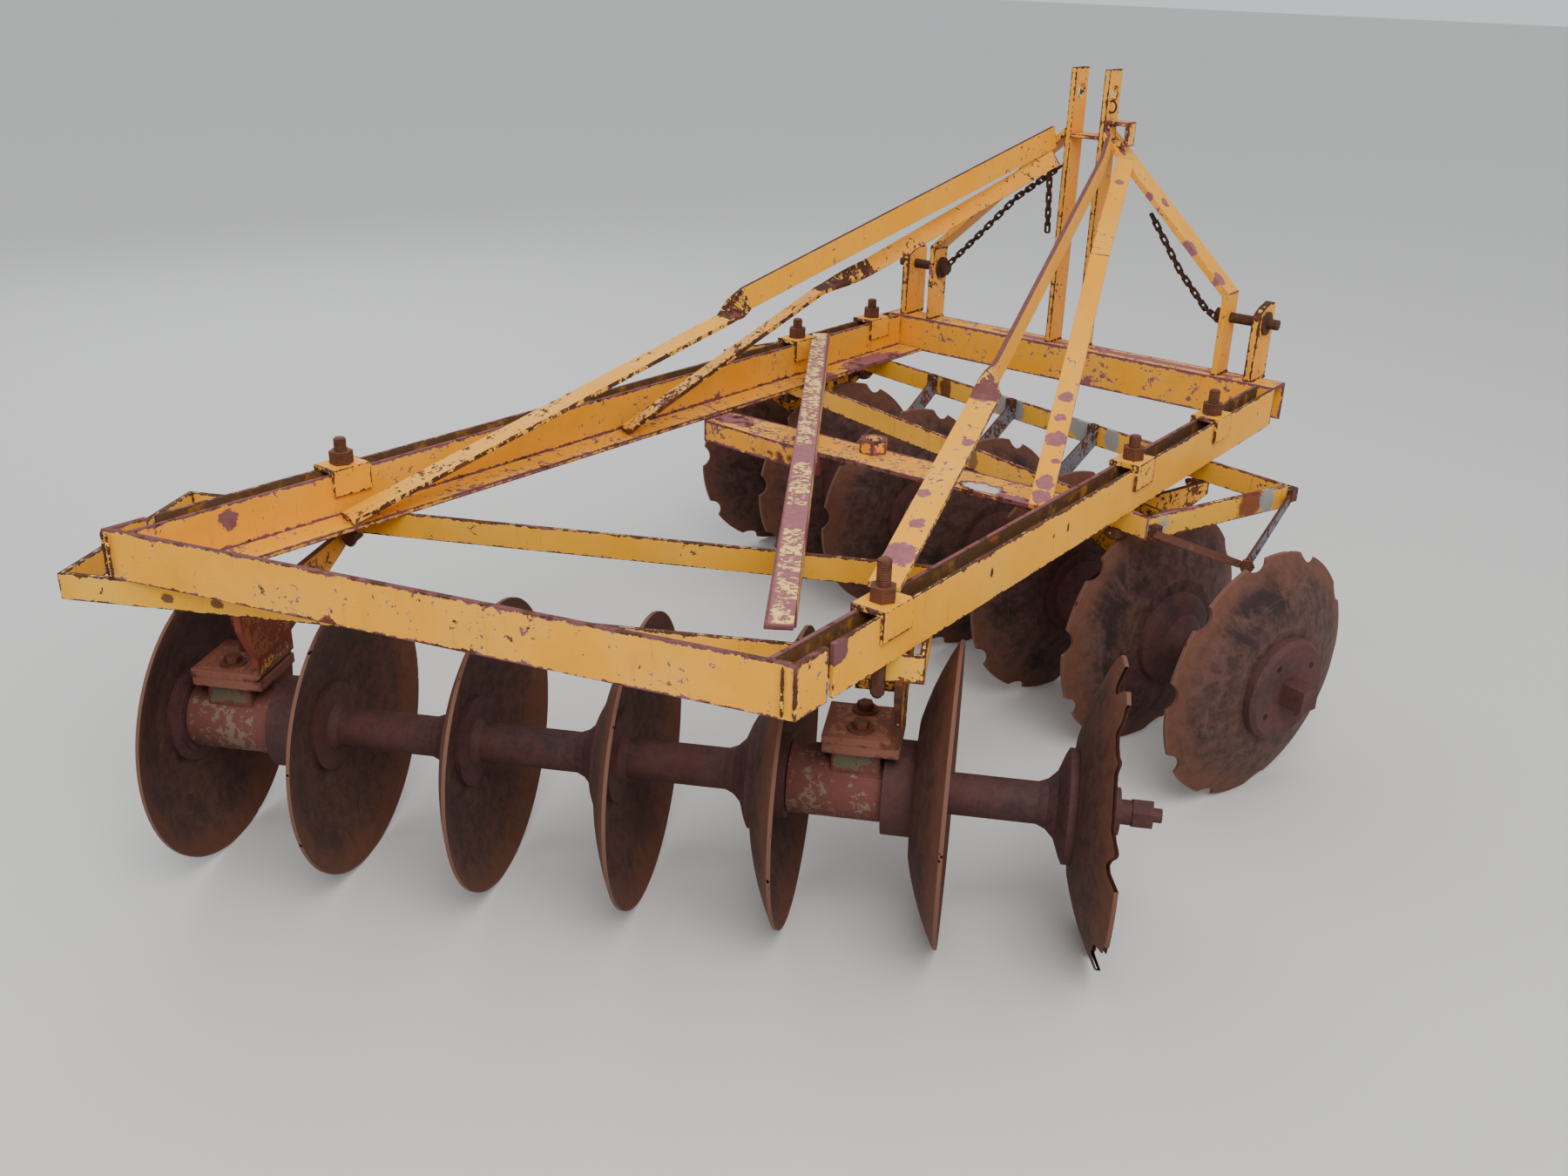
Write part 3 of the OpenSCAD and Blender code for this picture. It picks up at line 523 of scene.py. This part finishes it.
def soften(obj, width):
    """Joins the vertices that the import split and rounds sharp edges over the width."""
    weld = obj.modifiers.new("weld", "WELD")
    weld.merge_threshold = 0.00002
    bevel = obj.modifiers.new("round", "BEVEL")
    bevel.width = width
    bevel.segments = 2
    bevel.limit_method = "ANGLE"
    bevel.angle_limit = math.radians(40)
    bevel.harden_normals = False
    bevel.use_clamp_overlap = True


def dress(label, mat):
    """Gives a node one material in place of its own."""
    NODES[label].data.materials.clear()
    NODES[label].data.materials.append(mat)


BEAM_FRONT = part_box("front_crossbar")[1][1]
BAR_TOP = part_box("front_crossbar")[1][2]


def points_of(label):
    """All vertices of a node's mesh."""
    return corner_data(NODES[label].data)[0]


def on_bar(label, share, side, height=None):
    """A place on a bar: the cut at a share of its length, from its rear, lower or left end, then a share of
    the half width to one side. The cut's points are where the triangles' edges cross the plane. A given
    height takes the place of the found one."""
    co, corners, _ = corner_data(NODES[label].data)
    middle = co.mean(0)
    axis = np.linalg.svd(np.unique(co.round(5), axis=0) - middle, full_matrices=False)[2][0]
    main = 1 if abs(axis[1]) > 0.5 else 2 if abs(axis[2]) > 0.5 else 0
    axis = axis * np.sign(axis[main])
    s = (co - middle) @ axis
    cut = s.min() + share * np.ptp(s)
    ends = corners.reshape(-1, 3)[:, [0, 1, 1, 2, 2, 0]].reshape(-1, 2)
    low, high = s[ends[:, 0]] - cut, s[ends[:, 1]] - cut
    crossed = low * high < 0
    t = (low / (low - high))[crossed, None]
    points = co[ends[crossed, 0]] * (1 - t) + co[ends[crossed, 1]] * t
    across = np.linalg.svd(points - points.mean(0), full_matrices=False)[2][0]
    across = across * (np.sign(across @ [1, 0.1, 1]) or 1)
    reach = (points - points.mean(0)) @ across
    place = points.mean(0) + across * ((reach.max() + reach.min()) / 2 + side * np.ptp(reach) / 2)
    if height is not None:
        place[2] = height
    return tuple(place)


def on_beam(label, back, inward, height):
    """A place on or in a side beam: back from the front bar's front face along the outer flat, inward from
    the flat's outer face."""
    co = points_of(label)
    left = label.startswith("left")
    face = co[:, 0] * (1 if left else -1)
    fore = co[:, 1] > co[:, 1].max() - SAME_PLACE
    aft = co[:, 1] < co[:, 1].min() + SAME_PLACE
    start = co[fore][np.argmin(face[fore])]
    end = co[aft][np.argmin(face[aft])]
    along = (start - end) / np.linalg.norm(start - end)
    across = np.array([along[1], -along[0], 0]) * (1 if left else -1)
    place = start + along * (BEAM_FRONT - start[1] - back) + across * inward
    return place[0], place[1], height


def gang_place(body, along, ahead, height):
    """A point given by its place along a gang's axis from the joint's point, ahead of the axis, and over the
    ground."""
    origin, axis, forward = gang_axes(body)
    place = origin + axis * along + forward * ahead
    return place[0], place[1], height


def spots_of(points, reach):
    """Splits points into groups, each within reach of its first point in plan."""
    groups = []
    while len(points):
        near = np.linalg.norm(points[:, :2] - points[0, :2], axis=1) < reach
        groups.append(points[near])
        points = points[~near]
    return groups


def ball(size):
    """The same size along x, y and z."""
    return (size, size, size)


# thickness of a standard's foot, and more than its width but less than the way to the next one
FOOT_THICK = 0.012
FOOT_REACH = 0.3


def foot_places(label):
    """The middle of each standard's foot, at the height of its upper face."""
    co = points_of(label)
    low = co[:, 2].min()
    feet = spots_of(co[co[:, 2] < low + SAME_PLACE], FOOT_REACH)
    return [(foot[:, 0].mean(), foot[:, 1].mean(), low + FOOT_THICK) for foot in feet]


# places of the scraper arms along the front gang, and the middle height of the gang frames' bars
ARM_PLACES = (0.402, 0.645, 0.874)
HOOP_MIDDLE = 0.484
# the slanted bar's inner face: its place ahead of the axis, where that is so along the gang, and its slope
HOOP_AHEAD = 0.116
HOOP_START = -0.05
HOOP_SLOPE = 0.0813


def on_hoop(along):
    """A place on the slanted bar of the front gang's frame: ahead by a start value plus slope times way
    along."""
    return gang_place("front_gang", along, HOOP_AHEAD + (along - HOOP_START) * HOOP_SLOPE, HOOP_MIDDLE)


def bar_spots(label, rows, height=None):
    """Bare spots on one bar, from rows of share along, side and size."""
    return [on_bar(label, share, side, height) + (size if isinstance(size, tuple) else ball(size))
            for share, side, size in rows]


# The places and sizes of the spots below come from a cast of photo pixels onto the model and are rounded:
# shares of a bar mostly to 0.05, distances along a beam to 5 cm, other places mostly to 1 cm. Only the pink
# spots at the feet are placed by the pieces alone.
CHANNEL_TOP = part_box("mid_channel")[1][2] - 0.027
# bare spots in the paint of a node: place, then size along x, y and z
BARE_SPOTS = {
    "right_hitch_strut": bar_spots("right_hitch_strut", [
        (0.3, -0.5, 0.02), (0.45, -1, 0.02), (0.65, 0, 0.015), (0.7, -1, 0.01), (0.9, -0.5, 0.015)]),
    "right_short_stay": bar_spots("right_short_stay", [
        (0.9, 0, 0.012), (0.25, 0, 0.015), (0.2, 0, 0.012), (0.15, 0, 0.022), (0.1, 0.5, 0.01),
        (0.05, 0, 0.02), (0.02, 0, 0.018)]),
    "right_long_stay": bar_spots("right_long_stay", [
        (0.35, 0, 0.024), (0.25, 0.5, 0.012), (0.15, -0.5, 0.012), (0.1, 0, 0.014), (0.05, 0, 0.03)]),
    "mid_channel": bar_spots("mid_channel", [
        (0.9, 1, (0.05, 0.03, 0.02)), (0.8, 0.5, (0.055, 0.03, 0.02)), (0.05, 0, (0.07, 0.03, 0.02))],
        CHANNEL_TOP),
    "front_crossbar": bar_spots("front_crossbar", [
        (0.7, 0, (0.17, 0.016, 0.01)), (0.4, 0.5, (0.12, 0.014, 0.01)), (0.85, -0.5, (0.06, 0.012, 0.01))],
        BAR_TOP),
    "diagonal_brace": bar_spots("diagonal_brace", [(0.25, 0, 0.06), (0.45, 0, 0.06)]),
    "right_outer_flat": [on_beam("right_outer_flat", 1.65, 0, 0.57) + ball(0.02)],
    "left_inner_angle": [on_beam("left_outer_flat", 1.9, 0.04, 0.56) + ball(0.018),
                         on_beam("left_outer_flat", 0.25, 0.1, 0.513) + (0.05, 0.12, 0.02),
                         on_beam("left_outer_flat", 0.45, 0.1, 0.513) + (0.03, 0.05, 0.02)],
    "rear_crossbar": bar_spots("rear_crossbar", [(0.35, -1, 0.014)]),
}

# the bolt holes below and the crack are dark spots of painted shade on the paint
# bolt holes a little over the right flat's middle line: distance from the front, half width, half height
HOLE_LINE = 0.55
HOLES = ((1.0, 0.0045, 0.009), (1.05, 0.0035, 0.005), (1.25, 0.0055, 0.009), (0.15, 0.003, 0.006))
# the crack in the front bar: three thin dark spots of painted shade
CRACK = [on_bar("front_crossbar", 0.6, -1, height) + (0.0028, 0.012, 0.012, PAINTED_HOLE_SHADE, 0.9)
         for height in (0.52, 0.54, 0.56)]
REAR_FEET, FRONT_FEET = foot_places("rear_standards"), foot_places("front_standards")

# tinted spots on a node: place, size along x, y and z, colour, strength
TINTS = {
    "front_gang_bars": [on_hoop(ARM_PLACES[0] + 0.03) + (0.02, 0.02, 0.03, BROWN, 0.9)]
    + [on_hoop(ARM_PLACES[arm] + shift) + (size, 0.03, 0.027, GREY, 0.92)
       for arm, shift, size in ((1, -0.03, 0.03), (1, 0.01, 0.02), (2, -0.04, 0.04), (2, 0.04, 0.02))]
    + [gang_place("front_gang", 0.85, -0.14, HOOP_MIDDLE) + (0.016, 0.02, 0.03, PURPLE, 0.8)],
    "front_gang_ends": [gang_place("front_gang", 1.32, ahead, HOOP_MIDDLE) + (0.02, size, 0.032, tint, 0.9)
                        for ahead, size, tint in ((0.13, 0.045, MAROON), (0.175, 0.02, GREY),
                                                  (-0.1, 0.03, GREY), (-0.13, 0.016, GREY))],
    # painted highlight: the near-white spot on the channel's top
    "mid_channel": [on_bar("mid_channel", 0.8, 0.5, CHANNEL_TOP)
                    + (0.04, 0.02, 0.01, srgb(226, 222, 214), 0.7),
                    on_bar("mid_channel", 0.75, 1, 0.468) + (0.46, 0.05, 0.031, MAROON, 0.97)],
    "rear_gang_bars": [gang_place("rear_gang", along, -0.09, 0.48) + (0.012, 0.012, 0.009, BROWN, 0.9)
                       for along in (0.0, 0.08)],
    "right_outer_flat": [on_beam("right_outer_flat", 1.65, 0, 0.57) + ball(0.02) + (srgb(120, 74, 78), 0.9)]
    # bolt holes as dark spots of painted shade
    + [on_beam("right_outer_flat", back, 0, HOLE_LINE) + (0.02, wide, tall, PAINTED_HOLE_SHADE, 0.95)
       for back, wide, tall in HOLES],
    "front_crossbar": CRACK,
    "rear_standards": [place + (0.085, 0.095, 0.03, PAD_PINK, 0.9) for place in REAR_FEET]
    + [(REAR_FEET[0][0] + 0.04, REAR_FEET[0][1] + 0.02, 0.42, 0.13, 0.22, 0.075, RED_RUST, 0.88)],
    "front_standards": [place + (0.085, 0.095, 0.03, PAD_PINK, 0.9) for place in FRONT_FEET],
    "rear_bearings": [place[:2] + (0.325, 0.1, 0.1, 0.016, PAD_PINK, 0.85) for place in REAR_FEET],
    "left_inner_angle": [on_beam("left_outer_flat", 1.9, 0.04, 0.56) + ball(0.018)
                         + (srgb(120, 84, 88), 0.8)],
    "rear_crossbar": [on_bar("rear_crossbar", 0.35, -1) + ball(0.014) + (MAROON, 0.8)],
    "scrapers": [gang_place("front_gang", 1.36, -0.08, 0.46) + ball(0.09) + (srgb(92, 58, 46), 0.95),
                 gang_place("front_gang", 0.95, 0.1, 0.45) + (0.05, 0.05, 0.03, BROWN, 0.6)],
}

# paint of each node: colour, chips, width of the worn edge, dirt, share of primer in the chips
PAINTS = {
    "rear_crossbar": (YELLOW, 0.40, 0.008, 0.35, 0.55),
    "front_crossbar": (YELLOW, 0.50, 0.010, 0.5, 0.8),
    "left_outer_flat": (YELLOW, 0.34, 0.006, 0.4, 0.45),
    "right_outer_flat": (YELLOW, 0.26, 0.007, 0.3, 0.4),
    "left_inner_angle": (YELLOW, 0.44, 0.008, 0.5, 0.6),
    "right_inner_angle": (DEEP_YELLOW, 0.52, 0.008, 0.9, 0.6),
    "mid_channel": (DEEP_YELLOW, 0.50, 0.012, 0.8, 0.55),
    "diagonal_brace": (CREAM, 0.66, 0.012, 0.5, 0.75),
    "left_mast_post": (DEEP_YELLOW, 0.40, 0.006, 0.7, 0.3),
    "right_mast_post": (DEEP_YELLOW, 0.40, 0.006, 0.7, 0.3),
    "mast_bracket": (YELLOW, 0.46, 0.007, 0.6, 0.5),
    "left_long_stay": (YELLOW, 0.34, 0.008, 0.4, 0.4),
    "left_short_stay": (DEEP_YELLOW, 0.36, 0.007, 0.6, 0.4),
    "right_long_stay": (YELLOW, 0.34, 0.006, 0.35, 0.7),
    "right_short_stay": (YELLOW, 0.26, 0.005, 0.3, 0.8),
    "left_hitch_strut": (DEEP_YELLOW, 0.42, 0.006, 0.7, 0.4),
    "right_hitch_strut": (YELLOW, 0.34, 0.006, 0.5, 0.8),
    "left_clevis_plate": (DEEP_YELLOW, 0.40, 0.008, 0.8, 0.3),
    "right_clevis_plate": (DEEP_YELLOW, 0.44, 0.009, 0.9, 0.3),
    "rear_gang_bars": (HOOP_YELLOW, 0.36, 0.006, 0.6, 0.4),
    "rear_gang_ends": (HOOP_YELLOW, 0.34, 0.006, 0.6, 0.4),
    "front_gang_bars": (HOOP_YELLOW, 0.36, 0.006, 0.6, 0.5),
    "front_gang_ends": (HOOP_YELLOW, 0.36, 0.006, 0.5, 0.5),
    "clamp_saddles": (YELLOW, 0.40, 0.006, 0.5, 0.4),
    "rear_standards": (DEEP_YELLOW, 0.62, 0.012, 1.0, 0.3),
    "front_standards": (DEEP_YELLOW, 0.66, 0.012, 1.0, 0.3),
    "rear_bearings": (srgb(92, 88, 68), 0.60, 0.012, 0.8, 0.7),
    "front_bearings": (srgb(86, 76, 62), 0.62, 0.012, 0.8, 0.6),
    "scrapers": (srgb(92, 106, 122), 0.52, 0.005, 0.7, 0.1),
}

# the side of each beam's bars that looks into the slot between them
SLOT_SIDES = {"left_outer_flat": (1, 0, 0), "right_outer_flat": (-1, 0, 0), "left_inner_angle": (-1, 0, 0),
              "right_inner_angle": (1, 0, 0)}

# the width over which the edges of bars and of cast housings are rounded
BAR_EDGE = 0.0012
CAST_EDGE = 0.003

for label, (paint, chips, edge, dirt, primer_share) in PAINTS.items():
    obj = NODES[label]
    mark_edges(obj)
    worn = srgb(138, 112, 100) if label in ("rear_bearings", "front_bearings", "scrapers") else CREAM
    mat = paint_material(label + " paint", paint, chips, edge, dirt, primer_share, BARE_SPOTS.get(label, ()),
                         TINTS.get(label, ()), worn, HOUSING_PINK if "bearings" in label else PRIMER,
                         SLOT_SIDES.get(label))
    dress(label, mat)
    soften(obj, CAST_EDGE if "bearings" in label else BAR_EDGE)

# a place along the rear gang between its last two discs
LAST_DISC = 1.35
REAR_DISC = disc_material("rear disc rust", srgb(86, 58, 52), 0.4, 0.3, LAST_DISC)
FRONT_DISC = disc_material("front disc rust", srgb(92, 66, 62), 0.45, 0.8)
SPOOL = steel_material("spool rust", srgb(80, 57, 56), srgb(56, 42, 44), 0.4, 0.25, srgb(124, 66, 56))
CHAIN = steel_material("chain steel", srgb(44, 36, 34), srgb(26, 22, 22), 0.2, 0.2)
PIN = steel_material("pin steel", srgb(66, 50, 46), srgb(40, 32, 30), 0.3, 0.3)
THREAD_PITCH = 0.0028
STUD = steel_material("stud rust", srgb(104, 66, 52), srgb(66, 44, 38), 0.45, 0.2, pitch=THREAD_PITCH)

for body, disc in (("rear_gang", REAR_DISC), ("front_gang", FRONT_DISC)):
    side = body.split("_")[0]
    for label, mat in ((side + "_discs", disc), (side + "_spools", SPOOL), (body + "_bolt", SPOOL)):
        mark_radius(NODES[label], body)
        dress(label, mat)
for label in ("left_chain", "right_chain", "spare_chain"):
    dress(label, CHAIN)
for label, mat in (("left_low_pin", PIN), ("right_low_pin", PIN), ("clamp_bolts", STUD)):
    dress(label, mat)


# small pieces beside the construction
def lathe(profile, sides, foot, axis, turned=0.0):
    """Surface of revolution: ring k has radius profile[k][0] at profile[k][1] along the axis; six sides make
    a hexagon."""
    axis = np.array(axis, float) / np.linalg.norm(axis)
    first = np.cross(axis, [0, 0, 1.0] if abs(axis[2]) < 0.9 else [1.0, 0, 0])
    first /= np.linalg.norm(first)
    second = np.cross(axis, first)
    angle = np.arange(sides) * 2 * np.pi / sides + turned
    ring = np.outer(np.cos(angle), first) + np.outer(np.sin(angle), second)
    radius, along = np.array(profile).T
    return np.array(foot) + ring[None] * radius[:, None, None] + (along[:, None] * axis)[:, None]


def tube(points, radius, sides=10):
    """Round bar along a line of points: each ring lies square to the mean direction of its two runs."""
    points = np.array(points, float)
    run = np.gradient(points, axis=0)
    run /= np.linalg.norm(run, axis=1)[:, None]
    hint = np.array([0.31, 0.17, 0.93])
    first = np.cross(run, hint)
    first /= np.linalg.norm(first, axis=1)[:, None]
    second = np.cross(run, first)
    angle = np.arange(sides) * 2 * np.pi / sides
    radius = np.broadcast_to(radius, len(points))[:, None, None]
    ring = np.cos(angle)[:, None] * first[:, None] + np.sin(angle)[:, None] * second[:, None]
    return points[:, None] + radius * ring


def bead(start, end, radius=0.0035):
    """Weld bead: a round bar whose radius swells by a fifth every 5 mm and wanders with two slower waves. It
    thins to a quarter over 4 mm at each end."""
    start, end = np.array(start, float), np.array(end, float)
    length = np.linalg.norm(end - start)
    s = np.linspace(0, length, max(6, int(length / 0.0016)))
    swell = 1 + sum(height * np.sin(2 * np.pi * s / wave + shift)
                    for height, wave, shift in ((0.2, 0.005, 0), (0.12, 0.023, 1.3), (0.08, 0.041, 0)))
    swell *= radius * np.clip(np.minimum(s, length - s) / 0.004, 0.25, 1)
    return tube(start + (end - start) * (s / length)[:, None], swell, 8)


def piece(name, surfaces, material, body, smooth=True):
    """Joins closed grids of rings into one mesh that rides on a body: two triangles for each quad between
    rings, fans over the ends."""
    verts, tris, base = [], [], 0
    for rings in surfaces:
        count, sides = rings.shape[:2]
        k, j = (v.ravel() for v in np.meshgrid(np.arange(count - 1), np.arange(sides), indexing="ij"))
        a, b = base + k * sides + j, base + k * sides + (j + 1) % sides
        quads = np.concatenate([np.stack([a, b, b + sides], 1), np.stack([a, b + sides, a + sides], 1)])
        fan = np.arange(1, sides - 1)
        low = np.stack([np.full(sides - 2, base), base + fan + 1, base + fan], 1)
        top = base + (count - 1) * sides
        high = np.stack([np.full(sides - 2, top), top + fan, top + fan + 1], 1)
        verts.append(rings.reshape(-1, 3))
        tris += [quads, low, high]
        base += count * sides
    mesh = bpy.data.meshes.new(name)
    mesh.from_pydata(np.concatenate(verts).tolist(), [], np.concatenate(tris).tolist())
    mesh.update()
    obj = bpy.data.objects.new(name, mesh)
    bpy.context.scene.collection.objects.link(obj)
    mark_edges(obj)
    if smooth:
        mesh.shade_smooth()
        mesh.set_sharp_from_angle(angle=math.radians(38))
    mesh.materials.append(material)
    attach(obj, body)
    return obj


def ring_of(centre, axis, radius, thick, steps=40, sides=8):
    """A closed wire ring, its ends overlapping by one step."""
    centre, axis = np.array(centre, float), np.array(axis, float) / np.linalg.norm(axis)
    first = np.cross(axis, [0.2, 0.1, 1.0])
    first /= np.linalg.norm(first)
    second = np.cross(axis, first)
    t = np.linspace(0, 2 * np.pi * (1 + 1 / steps), steps + 2)[:, None]
    return tube(centre + radius * (np.cos(t) * first + np.sin(t) * second), thick, sides)


# profiles of a washer and a hexagon head: radius, then height
WASHER = [(0.0205, 0), (0.0205, 0.003)]
HEX_HEAD = [(0.0128, 0.003), (0.0135, 0.004), (0.0135, 0.0125), (0.0118, 0.0142)]
WELD = paint_material("weld paint", DEEP_YELLOW, 0.62, 0.002, 1.0, 0.2)
HOOK = paint_material("hook paint", DEEP_YELLOW, 0.66, 0.002, 1.0, 0.2)
CLAMP = paint_material("clamp paint", srgb(96, 108, 120), 0.55, 0.003, 0.6, 0.1, worn=srgb(138, 140, 142))
# painted shade for the flange holes: a dark steel
HOLE_SHADE_STEEL = steel_material("painted hole shade", PAINTED_HOLE_SHADE, PAINTED_HOLE_SHADE, 0.1, 0.1)


def foot_bolts():
    """Two hex bolts with washers on each standard's foot, a little behind and ahead of its middle."""
    heads = []
    for body, feet in (("rear_gang", REAR_FEET), ("front_gang", FRONT_FEET)):
        ahead = gang_axes(body)[2]
        for foot in feet:
            for shift, turned in ((-0.022, 0.3), (0.038, 0.8)):
                at = np.array(foot) + ahead * shift
                heads += [lathe(WASHER, 32, at, UP), lathe(HEX_HEAD, 6, at, UP, turned)]
    rust = steel_material("foot bolt rust", srgb(106, 68, 58), srgb(74, 50, 44), 0.4, 0.2)
    piece("foot_bolts", heads, rust, "frame")


def clamp_hooks():
    """A round hook from the foot of each clamp bolt: over half a turn it goes sideways by one less the
    cosine, down by the sine, and rises evenly. The top of each bolt gets a chamfered end."""
    reach, drop, rise, thick = 0.016, 0.009, 0.010, 0.0085
    stud_end = [(0.0098, 0), (0.0104, 0.0006), (0.0080, 0.0030)]
    co = points_of("clamp_bolts")
    low = co[:, 2].min()
    hooks, threads = [], []
    for near in spots_of(co, 0.09):
        centre = near[near[:, 2] > near[:, 2].max() - SAME_PLACE].mean(0)
        away = near[near[:, 2] < low + 2 * SAME_PLACE] - centre
        way = away[np.argsort(-np.hypot(away[:, 0], away[:, 1]))[:2]].mean(0)
        way[2] = 0
        way /= np.linalg.norm(way)
        t = np.linspace(0, np.pi, 14)[:, None]
        start = np.array([centre[0], centre[1], low + 0.002])
        hooks.append(tube(start + reach * (1 - np.cos(t)) * way + UP * (rise * t / np.pi - drop * np.sin(t)),
                          thick, 12))
        threads.append(lathe(stud_end, 24, centre - 0.0002 * UP, UP))
    piece("clamp_hooks", hooks, HOOK, "frame")
    piece("stud_ends", threads, STUD, "frame")


def weld_beads():
    """Beads along three sides of the feet of posts, struts and clevis plates, and down the rear bar's bent
    corners."""
    beads = []
    for kind in ("mast_post", "hitch_strut", "clevis_plate"):
        for side in ("left_", "right_"):
            co = points_of(side + kind)
            foot = co[co[:, 2] < co[:, 2].min() + SAME_PLACE]
            (x0, y0, z), (x1, y1, _) = foot.min(0), foot.max(0)
            corners = [(x0, y1, z), (x0, y0, z), (x1, y0, z), (x1, y1, z)]
            beads += [bead(a, b) for a, b in zip(corners[:-1], corners[1:])]
    lo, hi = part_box("rear_crossbar")
    co = points_of("rear_crossbar")
    right_corner = co[np.argmax(co[:, 0] - 0.5 * co[:, 1])]
    left_corner = co[np.argmin(co[:, 0] + co[:, 1])]
    for corner, side, slope in ((right_corner, -1, 0.5), (left_corner, 1, 0)):
        for shift in (0.0015, 0.016):
            x, y = corner[0] + side * shift, corner[1] - 0.0005 - slope * shift
            beads.append(bead((x, y, lo[2] + 0.004), (x, y, hi[2] - 0.003), 0.0022))
    piece("weld_beads", beads, WELD, "frame")


def scraper_fittings():
    """A grey clamp where each scraper arm or bar meets the gang's frame, and a bolt where the end arm and the
    brown bar meet."""
    arm_tops, clamp_reach = 0.470, 0.07
    clamp = [(0.010, -0.014), (0.012, -0.013), (0.012, 0.013), (0.010, 0.014)]
    co = points_of("scrapers")
    clamps = [lathe(clamp, 4, near.mean(0) + [0, 0.004, -0.002], UP, 0.5)
              for near in spots_of(co[co[:, 2] > arm_tops], clamp_reach)]
    piece("scraper_clamps", clamps, CLAMP, "frame", False)
    tip = co[np.argmin(co[:, 2] - 0.5 * co[:, 0])]
    piece("tip_bolt", [lathe(HEX_HEAD, 6, tip + [-0.006, 0.004, 0.006], (0.3, -0.9, 0.1))], STUD, "frame")


def hitch_fittings():
    """A wire ring on the right lower pin and a loose link hanging from the right post's side."""
    lo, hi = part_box("right_low_pin")
    ring = ring_of((lo[0] + 0.026, (lo[1] + hi[1]) / 2, (lo[2] + hi[2]) / 2 + 0.004), (1, 0.25, 0.1), 0.021,
                   0.0018)
    wire = steel_material("wire", srgb(150, 148, 142), srgb(96, 90, 84), 0.2, 0.1)
    piece("wire_ring", [ring], wire, "frame")
    lo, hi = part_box("right_mast_post")
    link = ring_of((hi[0] + 0.006, lo[1] + 0.012, hi[2] - 0.075), (0.3, 1, 0), 0.012, 0.0022, 28)
    piece("loose_link", [link], CHAIN, "frame")


def flange_holes():
    """Small holes in the front gang's end flange, shown as thin dark discs of painted shade on its face."""
    flange_radius, hole_circle, proud = 0.08, 0.066, 0.0001
    hole = [(0.0058, 0), (0.0056, 0.0004)]
    away = points_of("front_gang_bolt")
    origin, axis, ahead = gang_axes("front_gang")
    away = away - origin
    along = away @ axis
    face = along[np.linalg.norm(away - np.outer(along, axis), axis=1) > flange_radius].max()
    holes = []
    for angle in (0.6, 2.2, 3.7, 5.3):
        at = origin + axis * (face + proud) + hole_circle * (math.cos(angle) * ahead + math.sin(angle) * UP)
        holes.append(lathe(hole, 20, at, axis))
    piece("flange_holes", holes, HOLE_SHADE_STEEL, "front_gang")


foot_bolts()
clamp_hooks()
weld_beads()
scraper_fittings()
hitch_fittings()
flange_holes()


# camera, light and floor
def camera():
    """Camera at the photograph's place: looks yaw to the left of +Y and pitch down, turned by roll about its
    sight line."""
    cos_yaw, sin_yaw = math.cos(CAMERA_YAW), math.sin(CAMERA_YAW)
    cos_roll, sin_roll = math.cos(CAMERA_ROLL), math.sin(CAMERA_ROLL)
    level = math.cos(CAMERA_PITCH)
    forward = Vector((-sin_yaw * level, cos_yaw * level, -math.sin(CAMERA_PITCH)))
    right = Vector((cos_yaw, sin_yaw, 0))
    down = forward.cross(right)
    x, y = cos_roll * right + sin_roll * down, sin_roll * right - cos_roll * down
    lens = bpy.data.cameras.new("camera")
    lens.sensor_width = SENSOR_WIDTH
    lens.lens = SENSOR_WIDTH * FOCAL_SHARE
    lens.clip_start = 0.05
    eye = bpy.data.objects.new("camera", lens)
    bpy.context.scene.collection.objects.link(eye)
    eye.matrix_world = Matrix.Translation(CAMERA_PLACE) @ Matrix((x, y, -forward)).transposed().to_4x4()
    bpy.context.scene.camera = eye


def softbox(name, place, target, size, power, colour):
    """A square soft light at a place, turned to look at its target."""
    lamp = bpy.data.lights.new(name, "AREA")
    lamp.shape = "SQUARE"
    lamp.size = size
    lamp.energy = power
    lamp.color = colour
    obj = bpy.data.objects.new(name, lamp)
    bpy.context.scene.collection.objects.link(obj)
    obj.location = place
    obj.rotation_euler = (Vector(target) - Vector(place)).to_track_quat("-Z", "Y").to_euler()


def studio():
    """A pale floor under the machine, a bright even sky and two large soft lights."""
    machine_middle = (0, 0, 0.4)
    bpy.ops.mesh.primitive_plane_add(size=90, location=(0, 0, 0))
    floor = bpy.context.object
    floor.name = "floor"
    mat = bpy.data.materials.new("pale floor")
    mat.use_nodes = True
    shader = mat.node_tree.nodes["Principled BSDF"]
    shader.inputs["Base Color"].default_value = (0.66, 0.65, 0.63, 1)
    shader.inputs["Roughness"].default_value = 0.9
    floor.data.materials.append(mat)
    world = bpy.data.worlds.new("soft sky")
    world.use_nodes = True
    world.node_tree.nodes["Background"].inputs["Color"].default_value = (0.93, 0.96, 1.0, 1)
    world.node_tree.nodes["Background"].inputs["Strength"].default_value = 0.82
    bpy.context.scene.world = world
    softbox("key light", (2.6, -2.2, 4.2), machine_middle, 3.2, 195, (1.0, 0.97, 0.92))
    softbox("fill light", (-3.8, 1.2, 3.2), machine_middle, 3.0, 70, (0.92, 0.96, 1.0))


camera()
studio()
